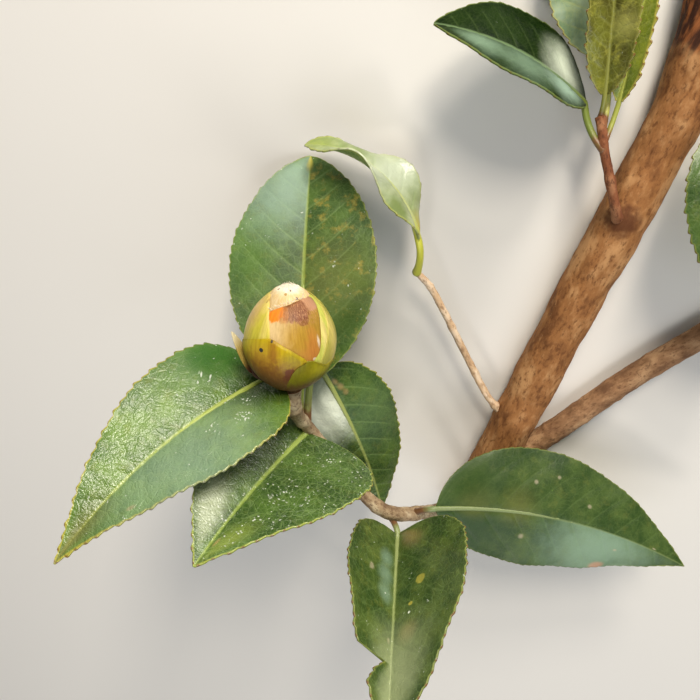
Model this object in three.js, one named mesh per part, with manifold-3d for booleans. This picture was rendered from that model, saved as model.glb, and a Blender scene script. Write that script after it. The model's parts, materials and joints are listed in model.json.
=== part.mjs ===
// A camellia branch with one flower bud, cut from its shrub and lying on its side.
// The thick stem rests on z = 0 along its length. The thin shoots leave it and carry the leaves,
// and one shoot ends in the round bud. Lengths are in millimetres, angles in degrees, +Z is up.

import * as THREE from 'three';
import { mergeVertices } from 'three/addons/utils/BufferGeometryUtils.js';
import Module from 'manifold-3d';

// Clear gap where a twig meets its stem, or a leaf stalk its twig
const GAP = 0.3;

// Points closer than this are one point
const MERGE_REACH = 0.0001;

// How finely the limbs and the blades are faceted
const STEM_SIDES = 14;
const TWIG_SIDES = 8;
const STEM_STEP = 8;
const TWIG_STEP = 4;
const BLADE_STEPS = 16;
const BLADE_COLUMNS = 3;

// Half thickness of a blade along its midrib and at its margin
const MIDRIB_HALF = 0.6;
const MARGIN_HALF = 0.3;

// Half thickness and half width of a leaf stalk, on grown leaves and on young ones
const STALK_HALF = 0.85;
const YOUNG_STALK_HALF = 0.6;
const STALK_FLATNESS = 0.4;
const STALK_RINGS = 4;

// How long a stalk runs straight into its blade, as a share of its length
const STALK_LEAD = 0.4;

// The middle of the branch's box on the ground, in the places below. The origin is moved there.
const BOX_MIDDLE = [-1.1, -59.9];

// The bark-covered limbs, from foot to tip. A station is a point on the centre line and a radius.
const MAIN_STEM = [
  { at: [5.0, -141.5, 6.1], radius: 6.1 },
  { at: [14.0, -113.0, 5.9], radius: 5.9 },
  { at: [27.0, -70.0, 5.8], radius: 5.8 },
  { at: [32.0, -54.5, 6.0], radius: 6.0 },
  { at: [38.0, -36.0, 5.7], radius: 5.7 },
  { at: [41.5, -23.0, 5.6], radius: 5.6 },
  { at: [43.0, -10.0, 5.5], radius: 5.5 },
  { at: [42.5, 5.0, 5.4], radius: 5.4 },
];
const SIDE_STEM = [
  { at: [16.0, -121.0, 3.8], radius: 3.1 },
  { at: [28.5, -108.5, 3.5], radius: 3.1 },
  { at: [45.5, -90.0, 3.4], radius: 3.0 },
  { at: [69.0, -68.5, 3.3], radius: 2.9 },
];
const BUD_SHOOT = [
  { at: [6.5, -136.0, 7.0], radius: 2.1 },
  { at: [0.5, -131.5, 15.0], radius: 1.8 },
  { at: [-6.0, -126.5, 24.0], radius: 1.8 },
  { at: [-14.5, -120.5, 32.5], radius: 1.9 },
  { at: [-22.0, -113.5, 33.5], radius: 1.5 },
  { at: [-28.0, -105.0, 34.0], radius: 1.4 },
  { at: [-32.5, -97.0, 35.0], radius: 1.4 },
  { at: [-35.1, -89.5, 39.3], radius: 1.6 },
  { at: [-35.4, -84.5, 42.5], radius: 1.8 },
  { at: [-35.4, -79.8, 43.0], radius: 2.1 },
];
const THIN_TWIG = [
  { at: [14.0, -104.0, 6.3], radius: 1.2 },
  { at: [9.0, -100.0, 7.1], radius: 0.95 },
  { at: [1.0, -86.0, 7.2], radius: 0.9 },
  { at: [-7.5, -70.0, 8.0], radius: 0.85 },
  { at: [-12.0, -64.0, 9.5], radius: 0.85 },
];
const SPRAY_TWIG = [
  { at: [32.5, -49.0, 9.0], radius: 1.3 },
  { at: [31.0, -46.0, 12.8], radius: 1.15 },
  { at: [28.5, -39.0, 13.2], radius: 1.0 },
  { at: [26.3, -32.5, 11.8], radius: 1.0 },
  { at: [25.0, -26.6, 9.2], radius: 1.0 },
];
const EDGE_TWIG = [
  { at: [42.5, -14.5, 8.0], radius: 1.0 },
  { at: [44.0, -17.5, 12.0], radius: 0.9 },
  { at: [46.8, -20.5, 11.9], radius: 0.8 },
];

// The flower bud: its foot on the shoot, how far it dips below level, its length and half width
const BUD_FOOT = [-35.4, -79.2, 43.1];
const BUD_DIP = 3;
const BUD_LENGTH = 24;
const BUD_RADIUS = 10;
const BUD_FOOT_RADIUS = 2.2;
const BUD_SIDES = 20;
const BUD_RINGS = 14;

// The bud's outline is a sine arch. The first number lowers its top, the second fills its ends.
const BUD_LOW = 0.92;
const BUD_FULL = 0.72;

// Each leaf. The stalk runs from its place inside the twig to the foot of the blade. There heading is
// the compass direction of the midrib, pitch its rise, and roll the turn of the blade about it.
// Over the blade's length the midrib then droops, sweeps sideways and twists by the angles given.
// fold lifts the two halves from the midrib and curl bends their margins back again.
// uneven makes the left half wider, fullBase and longTip shape the outline.
const LEAVES = [
  {
    name: 'leaf_behind_bud', stalk: [-35.2, -90.0, 38.4], foot: [-35.8, -83.5, 34.0],
    heading: 95, pitch: -29, roll: 4, length: 55.5, width: 34.5,
    droop: 15.5, sweep: -1, twist: -0.5, fold: 10.5, curl: 7, uneven: 0, fullBase: 0.63, longTip: 0.69,
  },
  {
    name: 'leaf_left', stalk: [-35.3, -87.5, 39.0], foot: [-41.5, -79.6, 39.0],
    heading: -175.5, pitch: 52, roll: 71.5, length: 58, width: 32,
    droop: 34, sweep: 15, twist: -8, fold: 20, curl: 8, uneven: 0.06, fullBase: 0.46, longTip: 1.28,
  },
  {
    name: 'leaf_low_left', stalk: [-32.5, -97.0, 35.0], foot: [-34.0, -95.3, 36.8],
    heading: 172, pitch: 73, roll: 74, length: 44.5, width: 38.5,
    droop: 9.5, sweep: 7, twist: 12, fold: 21, curl: 2, uneven: 0.12, fullBase: 0.43, longTip: 1.11,
  },
  {
    name: 'leaf_under_bud', stalk: [-34.0, -93.5, 36.7], foot: [-32.0, -82.0, 29.5],
    heading: -63.5, pitch: -4, roll: -20.5, length: 48.5, width: 24.5,
    droop: 14, sweep: -14.5, twist: 2, fold: -11.5, curl: 21.5, uneven: 0.06, fullBase: 0.56, longTip: 0.94,
  },
  {
    name: 'leaf_hanging', stalk: [-14.5, -120.8, 32.4], foot: [-11.7, -125.2, 35.0],
    heading: -41.5, pitch: 84, roll: -50, length: 54, width: 37,
    droop: 3.5, sweep: 0.5, twist: -2, fold: 43, curl: -7.5, uneven: 0.16, fullBase: 0.39, longTip: 1.02,
    tear: { from: 0.66, to: 0.73, depth: 0.55 },
  },
  {
    name: 'leaf_right', stalk: [-8.5, -124.5, 26.6], foot: [-2.6, -120.0, 29.7],
    heading: -1.5, pitch: -13.5, roll: -21, length: 69, width: 31.5,
    droop: 0, sweep: -30.5, twist: -5, fold: -3, curl: 18.5, uneven: 0.07, fullBase: 0.62, longTip: 1.09,
  },
  {
    name: 'leaf_thin_twig', stalk: [-12.0, -64.0, 9.5], foot: [-11.5, -53.6, 14.2],
    heading: 106, pitch: 0, roll: 76, length: 38, width: 14,
    droop: 89, sweep: -2, twist: -3, fold: 8.5, curl: 10.5, uneven: 0, fullBase: 0.66, longTip: 0.85,
  },
  {
    name: 'leaf_spray_left', stalk: [26.5, -33.0, 12.0], bend: [22.3, -29.5, 9.6], foot: [21.6, -23.8, 8.8],
    heading: 137, pitch: 18, roll: 70.5, length: 37.5, width: 22.5,
    droop: 34, sweep: 10, twist: -1.5, fold: 14.5, curl: 10, uneven: 0, fullBase: 0.65, longTip: 0.87,
  },
  {
    name: 'leaf_spray_back', stalk: [25.7, -29.8, 10.4], foot: [25.2, -15.8, 3.6], young: true,
    heading: 111, pitch: -1, roll: 8, length: 42, width: 15,
    droop: 4, sweep: 0, twist: 0, fold: 8, curl: 8, uneven: 0.15, fullBase: 0.6, longTip: 0.8,
  },
  {
    name: 'leaf_spray_young', stalk: [25.0, -26.6, 9.2], foot: [24.9, -21.8, 10.8], young: true,
    heading: 94, pitch: 4, roll: -4.5, length: 37, width: 10,
    droop: 8, sweep: 0, twist: 0, fold: 28, curl: 6, uneven: 0, fullBase: 0.55, longTip: 0.8,
  },
  {
    name: 'leaf_spray_narrow', stalk: [26.2, -31.6, 11.4], foot: [28.2, -23.4, 8.8], young: true,
    heading: 85, pitch: 0, roll: -28, length: 27, width: 6.5,
    droop: 0, sweep: 0, twist: 0, fold: 25, curl: 8, uneven: 0, fullBase: 0.6, longTip: 0.8,
  },
  {
    name: 'leaf_edge', stalk: [46.8, -20.5, 11.9], foot: [49.6, -25.5, 11.5],
    heading: -70, pitch: 28, roll: 0.5, length: 48, width: 24,
    droop: 28, sweep: 0, twist: 0, fold: 12, curl: 8, uneven: 0, fullBase: 0.6, longTip: 0.85,
  },
];

// The loose bract, a small dry scale that stands off the left side of the bud
const BRACT = {
  name: 'bract', stalk: [-41.0, -76.9, 47.6], foot: [-43.0, -74.6, 48.7],
  heading: 109, pitch: -4, roll: 80, length: 10, width: 4,
  droop: 22, sweep: -8, twist: 0, fold: 0, curl: 20, uneven: 0, fullBase: 0.5, longTip: 0.8,
};
const BRACT_SCALE = 0.45;

// Plain colours of the bark, the leaves and the bud
const STEM_BARK = 0xa37a4e;
const SIDE_STEM_BARK = 0xa08d74;
const SHOOT_BARK = 0x8a7058;
const THIN_TWIG_BARK = 0xb58f63;
const YOUNG_BARK = 0x7e4a30;
const LEAF_GREEN = 0x4c7a2c;
const YOUNG_GREEN = 0x8aa83c;
const BUD_OLIVE = 0xb9a548;
const BRACT_STRAW = 0xc7b45a;

const rad = THREE.MathUtils.degToRad;
const vec = (xyz) => new THREE.Vector3(...xyz);
const wasm = await Module();
wasm.setup();

// One closed skin over a row of rings that all have the same number of points
function skin(rings) {
  const sides = rings[0].length;
  const positions = [];
  const faces = [];
  for (const ring of rings) {
    for (const point of ring) positions.push(point.x, point.y, point.z);
  }
  for (let r = 0; r + 1 < rings.length; r++) {
    for (let s = 0; s < sides; s++) {
      const a = r * sides + s;
      const b = r * sides + ((s + 1) % sides);
      faces.push(a, b, b + sides, a, b + sides, a + sides);
    }
  }
  const lastRing = (rings.length - 1) * sides;
  for (let s = 1; s + 1 < sides; s++) {
    faces.push(0, s + 1, s);
    faces.push(lastRing, lastRing + s, lastRing + s + 1);
  }
  const geometry = new THREE.BufferGeometry();
  geometry.setAttribute('position', new THREE.Float32BufferAttribute(positions, 3));
  geometry.setIndex(faces);
  return geometry;
}

// A tapering limb swept along a smooth line through its stations, with flat cut ends.
// extra makes it that much larger all round, its ends too.
function limb(stations, sides, step, extra = 0) {
  const curve = new THREE.CatmullRomCurve3(stations.map((station) => vec(station.at)));
  const count = Math.max(2, Math.round(curve.getLength() / step));
  const rings = [];
  let side = new THREE.Vector3(0, 0, 1);
  for (let i = 0; i <= count; i++) {
    const t = i / count;
    const along = curve.getTangent(t);
    const centre = curve.getPoint(t);
    if (i === 0) centre.addScaledVector(along, -extra);
    if (i === count) centre.addScaledVector(along, extra);
    side = side.clone().addScaledVector(along, -side.dot(along)).normalize();
    const up = new THREE.Vector3().crossVectors(along, side);
    const place = t * (stations.length - 1);
    const k = Math.min(Math.floor(place), stations.length - 2);
    const mix = place - k;
    const radius = THREE.MathUtils.lerp(stations[k].radius, stations[k + 1].radius, mix) + extra;
    const ring = [];
    for (let s = 0; s < sides; s++) {
      const angle = (2 * Math.PI * s) / sides;
      ring.push(
        centre.clone()
          .addScaledVector(side, radius * Math.cos(angle))
          .addScaledVector(up, radius * Math.sin(angle)),
      );
    }
    rings.push(ring);
  }
  return skin(rings);
}

// The share of its full width that a blade has at s, from 0 at its foot to 1 at its tip
function outline(s, leaf) {
  const widest = leaf.fullBase / (leaf.fullBase + leaf.longTip);
  const shape = (x) => x ** leaf.fullBase * (1 - x) ** leaf.longTip;
  return shape(s) / shape(widest);
}

// The direction of the midrib, the left-hand side and the upper face at the foot of a blade
function footFrame(leaf) {
  const along = new THREE.Vector3(1, 0, 0)
    .applyAxisAngle(new THREE.Vector3(0, 1, 0), -rad(leaf.pitch))
    .applyAxisAngle(new THREE.Vector3(0, 0, 1), rad(leaf.heading));
  const left = new THREE.Vector3(0, 1, 0)
    .applyAxisAngle(new THREE.Vector3(0, 0, 1), rad(leaf.heading))
    .applyAxisAngle(along, rad(leaf.roll));
  const upper = new THREE.Vector3().crossVectors(along, left);
  return { along, left, upper };
}

// One ring round a blade or its stalk: across the upper face from left to right, and back below
function leafRing(centre, frame, halfWidths, leaf, middleHalf, marginHalf) {
  const upperRow = [];
  const lowerRow = [];
  for (const side of [-1, 1]) {
    const step = halfWidths[side] / BLADE_COLUMNS;
    let across = 0;
    let lift = 0;
    for (let j = 0; j <= BLADE_COLUMNS; j++) {
      const angle = rad(leaf.fold - (leaf.curl * (j - 0.5)) / BLADE_COLUMNS);
      if (j > 0) {
        across += step * Math.cos(angle);
        lift += step * Math.sin(angle);
      }
      if (j === 0 && side === 1) continue;
      const thin = Math.sqrt(1 - (j / BLADE_COLUMNS) ** 2);
      const half = THREE.MathUtils.lerp(marginHalf, middleHalf, thin);
      const middle = centre.clone()
        .addScaledVector(frame.left, side * across)
        .addScaledVector(frame.upper, lift);
      const top = middle.clone().addScaledVector(frame.upper, half);
      const bottom = middle.clone().addScaledVector(frame.upper, -half);
      if (side === -1) {
        upperRow.push(top);
        lowerRow.unshift(bottom);
      } else {
        upperRow.unshift(top);
        lowerRow.push(bottom);
      }
    }
  }
  return [...upperRow, ...lowerRow];
}

// A leaf as one closed body: the stalk out of its twig, then the blade to its tip
function leafBody(leaf, scale = 1) {
  const stalkHalf = (leaf.young ? YOUNG_STALK_HALF : STALK_HALF) * scale;
  const middleHalf = MIDRIB_HALF * scale;
  const marginHalf = MARGIN_HALF * scale;
  const frame = footFrame(leaf);
  const foot = vec(leaf.foot);
  const start = vec(leaf.stalk);
  const lead = STALK_LEAD * foot.distanceTo(start);
  const bend = leaf.bend ? vec(leaf.bend) : foot.clone().addScaledVector(frame.along, -lead);
  const stalk = new THREE.QuadraticBezierCurve3(start, bend, foot);
  const flat = { ...leaf, fold: 0, curl: 0 };
  const rings = [];
  for (let i = 0; i < STALK_RINGS; i++) {
    const t = i / STALK_RINGS;
    const along = stalk.getTangent(t);
    const left = frame.left.clone().addScaledVector(along, -frame.left.dot(along)).normalize();
    const upper = new THREE.Vector3().crossVectors(along, left);
    const halfWidths = { '-1': stalkHalf, 1: stalkHalf };
    const edgeHalf = STALK_FLATNESS * stalkHalf;
    rings.push(leafRing(stalk.getPoint(t), { along, left, upper }, halfWidths, flat, stalkHalf, edgeHalf));
  }
  const centre = foot.clone();
  for (let i = 0; i <= BLADE_STEPS; i++) {
    const s = i / BLADE_STEPS;
    const half = 0.5 * leaf.width * outline(s, leaf);
    const torn = leaf.tear && s > leaf.tear.from && s < leaf.tear.to ? 1 - leaf.tear.depth : 1;
    const halfWidths = {
      '-1': Math.max(half * (1 - leaf.uneven) * torn, stalkHalf * (1 - s)) + marginHalf,
      1: Math.max(half * (1 + leaf.uneven), stalkHalf * (1 - s)) + marginHalf,
    };
    rings.push(leafRing(centre, frame, halfWidths, leaf, middleHalf, marginHalf));
    centre.addScaledVector(frame.along, leaf.length / BLADE_STEPS);
    const turns = [
      [frame.along.clone(), leaf.twist],
      [frame.upper.clone(), leaf.sweep],
      [frame.left.clone(), leaf.droop],
    ];
    for (const [axis, degrees] of turns) {
      for (const arrow of [frame.along, frame.left, frame.upper]) {
        arrow.applyAxisAngle(axis, rad(degrees / BLADE_STEPS));
      }
    }
  }
  return skin(rings);
}

// The bud: an egg standing on a small flat foot, widest below its middle
function budBody() {
  const profile = [new THREE.Vector2(0, 0)];
  for (let i = 0; i <= BUD_RINGS; i++) {
    const s = i / BUD_RINGS;
    const round = Math.sin(Math.PI * s ** BUD_LOW) ** BUD_FULL;
    const radius = i === BUD_RINGS ? 0 : Math.max(BUD_RADIUS * round, BUD_FOOT_RADIUS * (1 - s));
    profile.push(new THREE.Vector2(radius, BUD_LENGTH * s));
  }
  return new THREE.LatheGeometry(profile, BUD_SIDES);
}

// A geometry as a solid, in a form that can be joined and cut
function solid(geometry) {
  const bare = geometry.clone();
  bare.deleteAttribute('normal');
  bare.deleteAttribute('uv');
  const merged = mergeVertices(bare, MERGE_REACH);
  const vertProperties = new Float32Array(merged.attributes.position.array);
  const triVerts = new Uint32Array(merged.index.array);
  return new wasm.Manifold(new wasm.Mesh({ numProp: 3, vertProperties, triVerts }));
}

// The solid back as a geometry
function fromSolid(body) {
  const mesh = body.getMesh();
  const geometry = new THREE.BufferGeometry();
  geometry.setAttribute('position', new THREE.BufferAttribute(new Float32Array(mesh.vertProperties), 3));
  geometry.setIndex(new THREE.BufferAttribute(new Uint32Array(mesh.triVerts), 1));
  return geometry;
}

// A twig or leaf whose root is trimmed back to lie the clear gap off the limb that carries it
function trimmed(geometry, carrier, sides, step) {
  const room = solid(limb(carrier, sides, step, GAP));
  const parts = solid(geometry).subtract(room).decompose();
  parts.sort((a, b) => b.volume() - a.volume());
  return fromSolid(parts[0]);
}

const barkMaterial = (color) => new THREE.MeshStandardMaterial({ color, roughness: 0.85, metalness: 0 });
const leafMaterial = (color) => new THREE.MeshStandardMaterial({ color, roughness: 0.35, metalness: 0 });

const branch = new THREE.Group();

function addPart(name, geometry, material) {
  const mesh = new THREE.Mesh(geometry, material);
  mesh.name = name;
  branch.add(mesh);
  return mesh;
}

// Stems and twigs, each trimmed to the stem that it grows from
addPart('main_stem', limb(MAIN_STEM, STEM_SIDES, STEM_STEP), barkMaterial(STEM_BARK));
const TWIGS = [
  { name: 'side_stem', stations: SIDE_STEM, sides: STEM_SIDES, step: STEM_STEP, color: SIDE_STEM_BARK },
  { name: 'bud_shoot', stations: BUD_SHOOT, sides: TWIG_SIDES, step: TWIG_STEP, color: SHOOT_BARK },
  { name: 'thin_twig', stations: THIN_TWIG, sides: TWIG_SIDES, step: TWIG_STEP, color: THIN_TWIG_BARK },
  { name: 'spray_twig', stations: SPRAY_TWIG, sides: TWIG_SIDES, step: TWIG_STEP, color: YOUNG_BARK },
  { name: 'edge_twig', stations: EDGE_TWIG, sides: TWIG_SIDES, step: TWIG_STEP, color: YOUNG_BARK },
];
for (const twig of TWIGS) {
  const body = limb(twig.stations, twig.sides, twig.step);
  addPart(twig.name, trimmed(body, MAIN_STEM, STEM_SIDES, STEM_STEP), barkMaterial(twig.color));
}

// Leaves, each trimmed to its twig
const CARRIERS = {
  leaf_thin_twig: THIN_TWIG,
  leaf_spray_left: SPRAY_TWIG,
  leaf_spray_back: SPRAY_TWIG,
  leaf_spray_young: SPRAY_TWIG,
  leaf_spray_narrow: SPRAY_TWIG,
  leaf_edge: EDGE_TWIG,
};
for (const leaf of LEAVES) {
  const carrier = CARRIERS[leaf.name] ?? BUD_SHOOT;
  const color = leaf.young ? YOUNG_GREEN : LEAF_GREEN;
  addPart(leaf.name, trimmed(leafBody(leaf), carrier, TWIG_SIDES, TWIG_STEP), leafMaterial(color));
}

// The bud on the end of its shoot, and the loose bract beside it
const bud = addPart('flower_bud', budBody(), leafMaterial(BUD_OLIVE));
bud.position.copy(vec(BUD_FOOT));
bud.rotation.x = -rad(BUD_DIP);
addPart(
  BRACT.name,
  trimmed(leafBody(BRACT, BRACT_SCALE), BUD_SHOOT, TWIG_SIDES, TWIG_STEP),
  leafMaterial(BRACT_STRAW),
);

branch.position.set(-BOX_MIDDLE[0], -BOX_MIDDLE[1], 0);

export default branch;
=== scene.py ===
"""The looks of a cut camellia branch: bark, glossy toothed leaves and one swelling flower bud."""

import math
import json

import bpy
import numpy as np
from mathutils import Matrix, Quaternion, Vector, noise

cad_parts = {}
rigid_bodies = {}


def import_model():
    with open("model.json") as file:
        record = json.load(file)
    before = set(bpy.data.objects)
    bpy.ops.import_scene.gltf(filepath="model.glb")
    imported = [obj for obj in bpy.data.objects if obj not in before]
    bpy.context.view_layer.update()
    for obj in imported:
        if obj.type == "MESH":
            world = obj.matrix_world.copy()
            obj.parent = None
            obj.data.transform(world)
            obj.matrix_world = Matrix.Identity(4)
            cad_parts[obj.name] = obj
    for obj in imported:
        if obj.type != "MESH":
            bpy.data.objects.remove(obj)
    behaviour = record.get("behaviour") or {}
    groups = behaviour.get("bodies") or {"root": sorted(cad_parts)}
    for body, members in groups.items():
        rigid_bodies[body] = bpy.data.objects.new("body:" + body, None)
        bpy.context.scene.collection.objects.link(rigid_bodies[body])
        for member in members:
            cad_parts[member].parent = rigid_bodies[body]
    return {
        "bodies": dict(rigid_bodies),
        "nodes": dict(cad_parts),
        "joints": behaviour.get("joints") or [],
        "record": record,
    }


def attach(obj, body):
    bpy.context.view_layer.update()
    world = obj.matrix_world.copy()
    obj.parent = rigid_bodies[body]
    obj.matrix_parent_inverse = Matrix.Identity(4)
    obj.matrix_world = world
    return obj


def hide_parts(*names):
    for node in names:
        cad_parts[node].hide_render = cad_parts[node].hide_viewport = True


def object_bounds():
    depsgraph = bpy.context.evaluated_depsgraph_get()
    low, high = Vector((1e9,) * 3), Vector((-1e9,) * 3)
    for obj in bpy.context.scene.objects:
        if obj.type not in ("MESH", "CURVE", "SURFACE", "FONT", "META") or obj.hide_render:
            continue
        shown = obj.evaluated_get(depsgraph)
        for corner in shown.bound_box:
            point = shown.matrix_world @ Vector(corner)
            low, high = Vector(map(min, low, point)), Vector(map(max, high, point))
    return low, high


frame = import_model()
cad_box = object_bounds()

# The view. The branch lies on its side and is seen from close above, over the bud, with the cut
# top of the main stem at the upper right. All places are in millimetres from the point below the
# camera, and the middle of the branch's box lies at BOX_MIDDLE.
MM = 0.001
BOX_MIDDLE = (-1.1, -59.9)
CAMERA_SPOT = (0.0, 0.0, 169.11)
CAMERA_TURN = (-28.26, 10.14, 0.0)
LENS = 36.0
SENSOR = 36.0
NEAREST = 5.0


def spot(x, y, z):
    """A place on the branch, given in millimetres, as a point in metres from its origin"""
    return Vector((x - BOX_MIDDLE[0], y - BOX_MIDDLE[1], z)) * MM


bpy.ops.object.camera_add(location=spot(*CAMERA_SPOT), rotation=[math.radians(a) for a in CAMERA_TURN])
camera = bpy.context.object
camera.data.lens = LENS
camera.data.sensor_width = SENSOR
camera.data.clip_start = NEAREST * MM
bpy.context.scene.camera = camera
bpy.context.scene.view_settings.view_transform = "Standard"

# The floor is a plain pale sheet that the branch lies on. It is dull, so that only the branch's
# own soft shadows show on it.
FLOOR_COLOR = (0.66, 0.63, 0.59)
FLOOR_ROUGHNESS = 0.9
FLOOR_SIZE = 3.0


def painter(name, color, roughness):
    """A new material and its surface shader"""
    material = bpy.data.materials.new(name)
    material.use_nodes = True
    shader = material.node_tree.nodes["Principled BSDF"]
    shader.inputs["Base Color"].default_value = (*color, 1)
    shader.inputs["Roughness"].default_value = roughness
    return material, shader


bpy.ops.object.select_all(action="DESELECT")
bpy.ops.mesh.primitive_plane_add(size=FLOOR_SIZE, location=(0, 0, cad_box[0].z))
floor = bpy.context.object
floor.name = "floor"
floor.data.materials.append(painter("floor_pale", FLOOR_COLOR, FLOOR_ROUGHNESS)[0])

# The light is soft studio light: a warm main lamp over the top end of the branch, three small
# ones for the gloss of the leaves, a broad cool card behind and another overhead like open sky,
# and an even pale surround. Each row is place and size in millimetres, power and colour.
LAMPS = {
    "main_lamp": ((95.0, 400.0, 415.0), (150.0, 150.0), 2.7, (1.0, 0.92, 0.79)),
    "gloss_lamp": ((105.0, 470.0, 265.0), (100.0, 100.0), 2.1, (1.0, 0.93, 0.82)),
    "side_gloss_lamp": ((360.0, 450.0, 50.0), (200.0, 80.0), 1.4, (1.0, 0.96, 0.90)),
    "front_gloss_lamp": ((-33.0, -460.0, 500.0), (120.0, 120.0), 0.8, (1.0, 0.95, 0.88)),
    "sky_card": ((0.0, 520.0, 250.0), (1300.0, 500.0), 1.5, (0.84, 0.92, 1.0)),
    "top_card": ((180.0, -320.0, 534.0), (520.0, 440.0), 1.6, (0.88, 0.94, 1.0)),
}
SURROUND = (0.80, 0.86, 0.92, 1)
SURROUND_STRENGTH = 0.15
for name, (at, size, power, color) in LAMPS.items():
    bpy.ops.object.light_add(type="AREA", location=spot(*at))
    lamp = bpy.context.object
    lamp.name = name
    lamp.data.shape = "RECTANGLE"
    lamp.data.size = size[0] * MM
    lamp.data.size_y = size[1] * MM
    lamp.data.energy = power
    lamp.data.color = color
    lamp.rotation_mode = "QUATERNION"
    lamp.rotation_quaternion = (-lamp.location).to_track_quat("-Z", "Y")
world = bpy.data.worlds.new("surround")
world.use_nodes = True
world.node_tree.nodes["Background"].inputs["Color"].default_value = SURROUND
world.node_tree.nodes["Background"].inputs["Strength"].default_value = SURROUND_STRENGTH
bpy.context.scene.world = world

# The main stem is a young woody stem as thick as a finger, in mottled tan bark with fine
# lengthwise cracks and a dark collar where the leafy twig leaves it. Both ends are cut straight
# across, and its pale wood shows there.
MAIN_STEM = [
    ((5.0, -141.5, 6.1), 6.1),
    ((14.0, -113.0, 5.9), 5.9),
    ((27.0, -70.0, 5.8), 5.8),
    ((32.0, -54.5, 6.0), 6.0),
    ((38.0, -36.0, 5.7), 5.7),
    ((41.5, -23.0, 5.6), 5.6),
    ((43.0, -10.0, 5.5), 5.5),
    ((42.5, 5.0, 5.4), 5.4),
]
STEM_STEPS = 360
STEM_SIDES = 96
STEM_BEARING = 73
STEM_GRAINS = [(9, 0.55, 1), (2.6, 0.22, 0.4), (0.9, 0.12, 0.3)]
CUT_RINGS = 5
WELD = 0.00001
COLLAR_AT = (32.9, -48.0, 11.0)
COLLAR_REACH = 5.0
COLLAR_RISE = 0.7
COLLAR_STAIN = (6.4, 3.8)
COLLAR_RAG = 3.2
OLD_BARK_FROM = (-13, -7)
OLD_BARK_RAG = 8.0
OLD_BARK_BEARING = 80
FISSURE_BEARING = 65
FISSURE_STRETCH = 7.0
GROWTH_RINGS = 26.0
STEM_TAN = (0.265, 0.112, 0.036)
STEM_PALE = (0.43, 0.225, 0.092)
STEM_DARK = (0.100, 0.034, 0.010)
COLLAR_BROWN = (0.085, 0.027, 0.009)
TOP_DARK = (0.040, 0.013, 0.006)
TOP_RUST = (0.26, 0.085, 0.025)
WOOD_PALE = (0.66, 0.49, 0.28)
WOOD_RING = (0.50, 0.32, 0.15)


def smooth_line(stations, steps):
    """The point, direction and radius at even steps of a smooth line through the stations"""
    points = [spot(*at) for at, _ in stations]
    last = len(points) - 1
    line = []
    for i in range(steps + 1):
        k = min(i * last // steps, last - 1)
        t = i * last / steps - k
        start, end = points[k], points[k + 1]
        before = points[k - 1] if k > 0 else 2 * start - end
        after = points[k + 2] if k + 2 <= last else 2 * end - start
        leave, arrive = (end - before) / 2, (after - start) / 2
        bow, turn = 2 * start - 2 * end + leave + arrive, 3 * end - 3 * start - 2 * leave - arrive
        point = ((bow * t + turn) * t + leave) * t + start
        ahead = ((3 * bow * t + 2 * turn) * t + leave).normalized()
        radius = (stations[k][1] * (1 - t) + stations[k + 1][1] * t) * MM
        line.append((point, ahead, radius))
    return line


def fresh_grid(name, columns, rows):
    """A flat grid of unit size, from which the named piece is formed"""
    bpy.ops.object.select_all(action="DESELECT")
    bpy.ops.mesh.primitive_grid_add(x_subdivisions=columns, y_subdivisions=rows, size=1, location=(0, 0, 0))
    bpy.context.object.name = name
    return bpy.context.object


def closed(piece):
    """Closes a new piece's seams, turns its faces outwards and smooths it"""
    bpy.ops.object.mode_set(mode="EDIT")
    bpy.ops.mesh.select_all(action="SELECT")
    bpy.ops.mesh.remove_doubles(threshold=WELD)
    bpy.ops.mesh.normals_make_consistent(inside=False)
    bpy.ops.object.mode_set(mode="OBJECT")
    bpy.ops.object.shade_smooth()
    return piece


def rolled(name, line, sides, relief=None, flat=1.0, upward=(0, 0, 1)):
    """A tube rolled from a flat grid along a line, its ends closed to points by flat cut faces.
    relief(point, share) is the rise of its surface in millimetres, and flat its thinness."""
    last = len(line) - 1
    rings = last + 2 * CUT_RINGS
    piece = fresh_grid(name, sides, rings)
    side = Vector(upward)
    sections = []
    for point, ahead, radius in line:
        side = (side - ahead * side.dot(ahead)).normalized()
        sections.append((point, side.copy(), ahead.cross(side), radius))
    heart = piece.data.attributes.new("heart", "FLOAT", "POINT")
    for index, vertex in enumerate(piece.data.vertices):
        ring = round((vertex.co.y + 0.5) * rings) - CUT_RINGS
        inside = max(0, -ring, ring - last) / CUT_RINGS
        ring = min(max(ring, 0), last)
        point, up, across, radius = sections[ring]
        angle = 2 * math.pi * (round((vertex.co.x + 0.5) * sides) % sides) / sides
        outwards = up * (math.cos(angle) * flat) + across * math.sin(angle)
        rise = relief(point + outwards * radius, ring / last) * MM if relief else 0
        vertex.co = point + outwards * ((radius + rise) * (1 - inside))
        heart.data[index].value = 1 - inside if inside > 0 else 2
    return closed(piece)


def roughened(point, grains):
    """The rise of rough bark in millimetres. Each row is the grains' size, height and closeness along Y."""
    rise = 0.0
    for size, height, closeness in grains:
        x, y, z = point / (MM * size)
        rise += height * noise.noise(Vector((x, y * closeness, z)))
    return rise


class Tone:
    """A number, vector or colour inside a material, which can be added to, taken from and multiplied"""

    def __init__(self, socket):
        self.socket = socket

    def combined(self, operation, other):
        kind = "VectorMath" if self.socket.type == "VECTOR" else "Math"
        return wire(kind, {0: self, 1: other}, operation=operation)

    def __add__(self, other):
        return self.combined("ADD", other)

    def __sub__(self, other):
        return self.combined("SUBTRACT", other)

    def __mul__(self, other):
        return self.combined("MULTIPLY", other)


def feed(made, inputs):
    """Gives the inputs of a shader node their values or links"""
    for key, value in inputs.items():
        socket = made.inputs[key]
        if isinstance(value, Tone):
            made.id_data.links.new(value.socket, socket)
        else:
            socket.default_value = (*value, 1) if socket.type == "RGBA" else value


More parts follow.
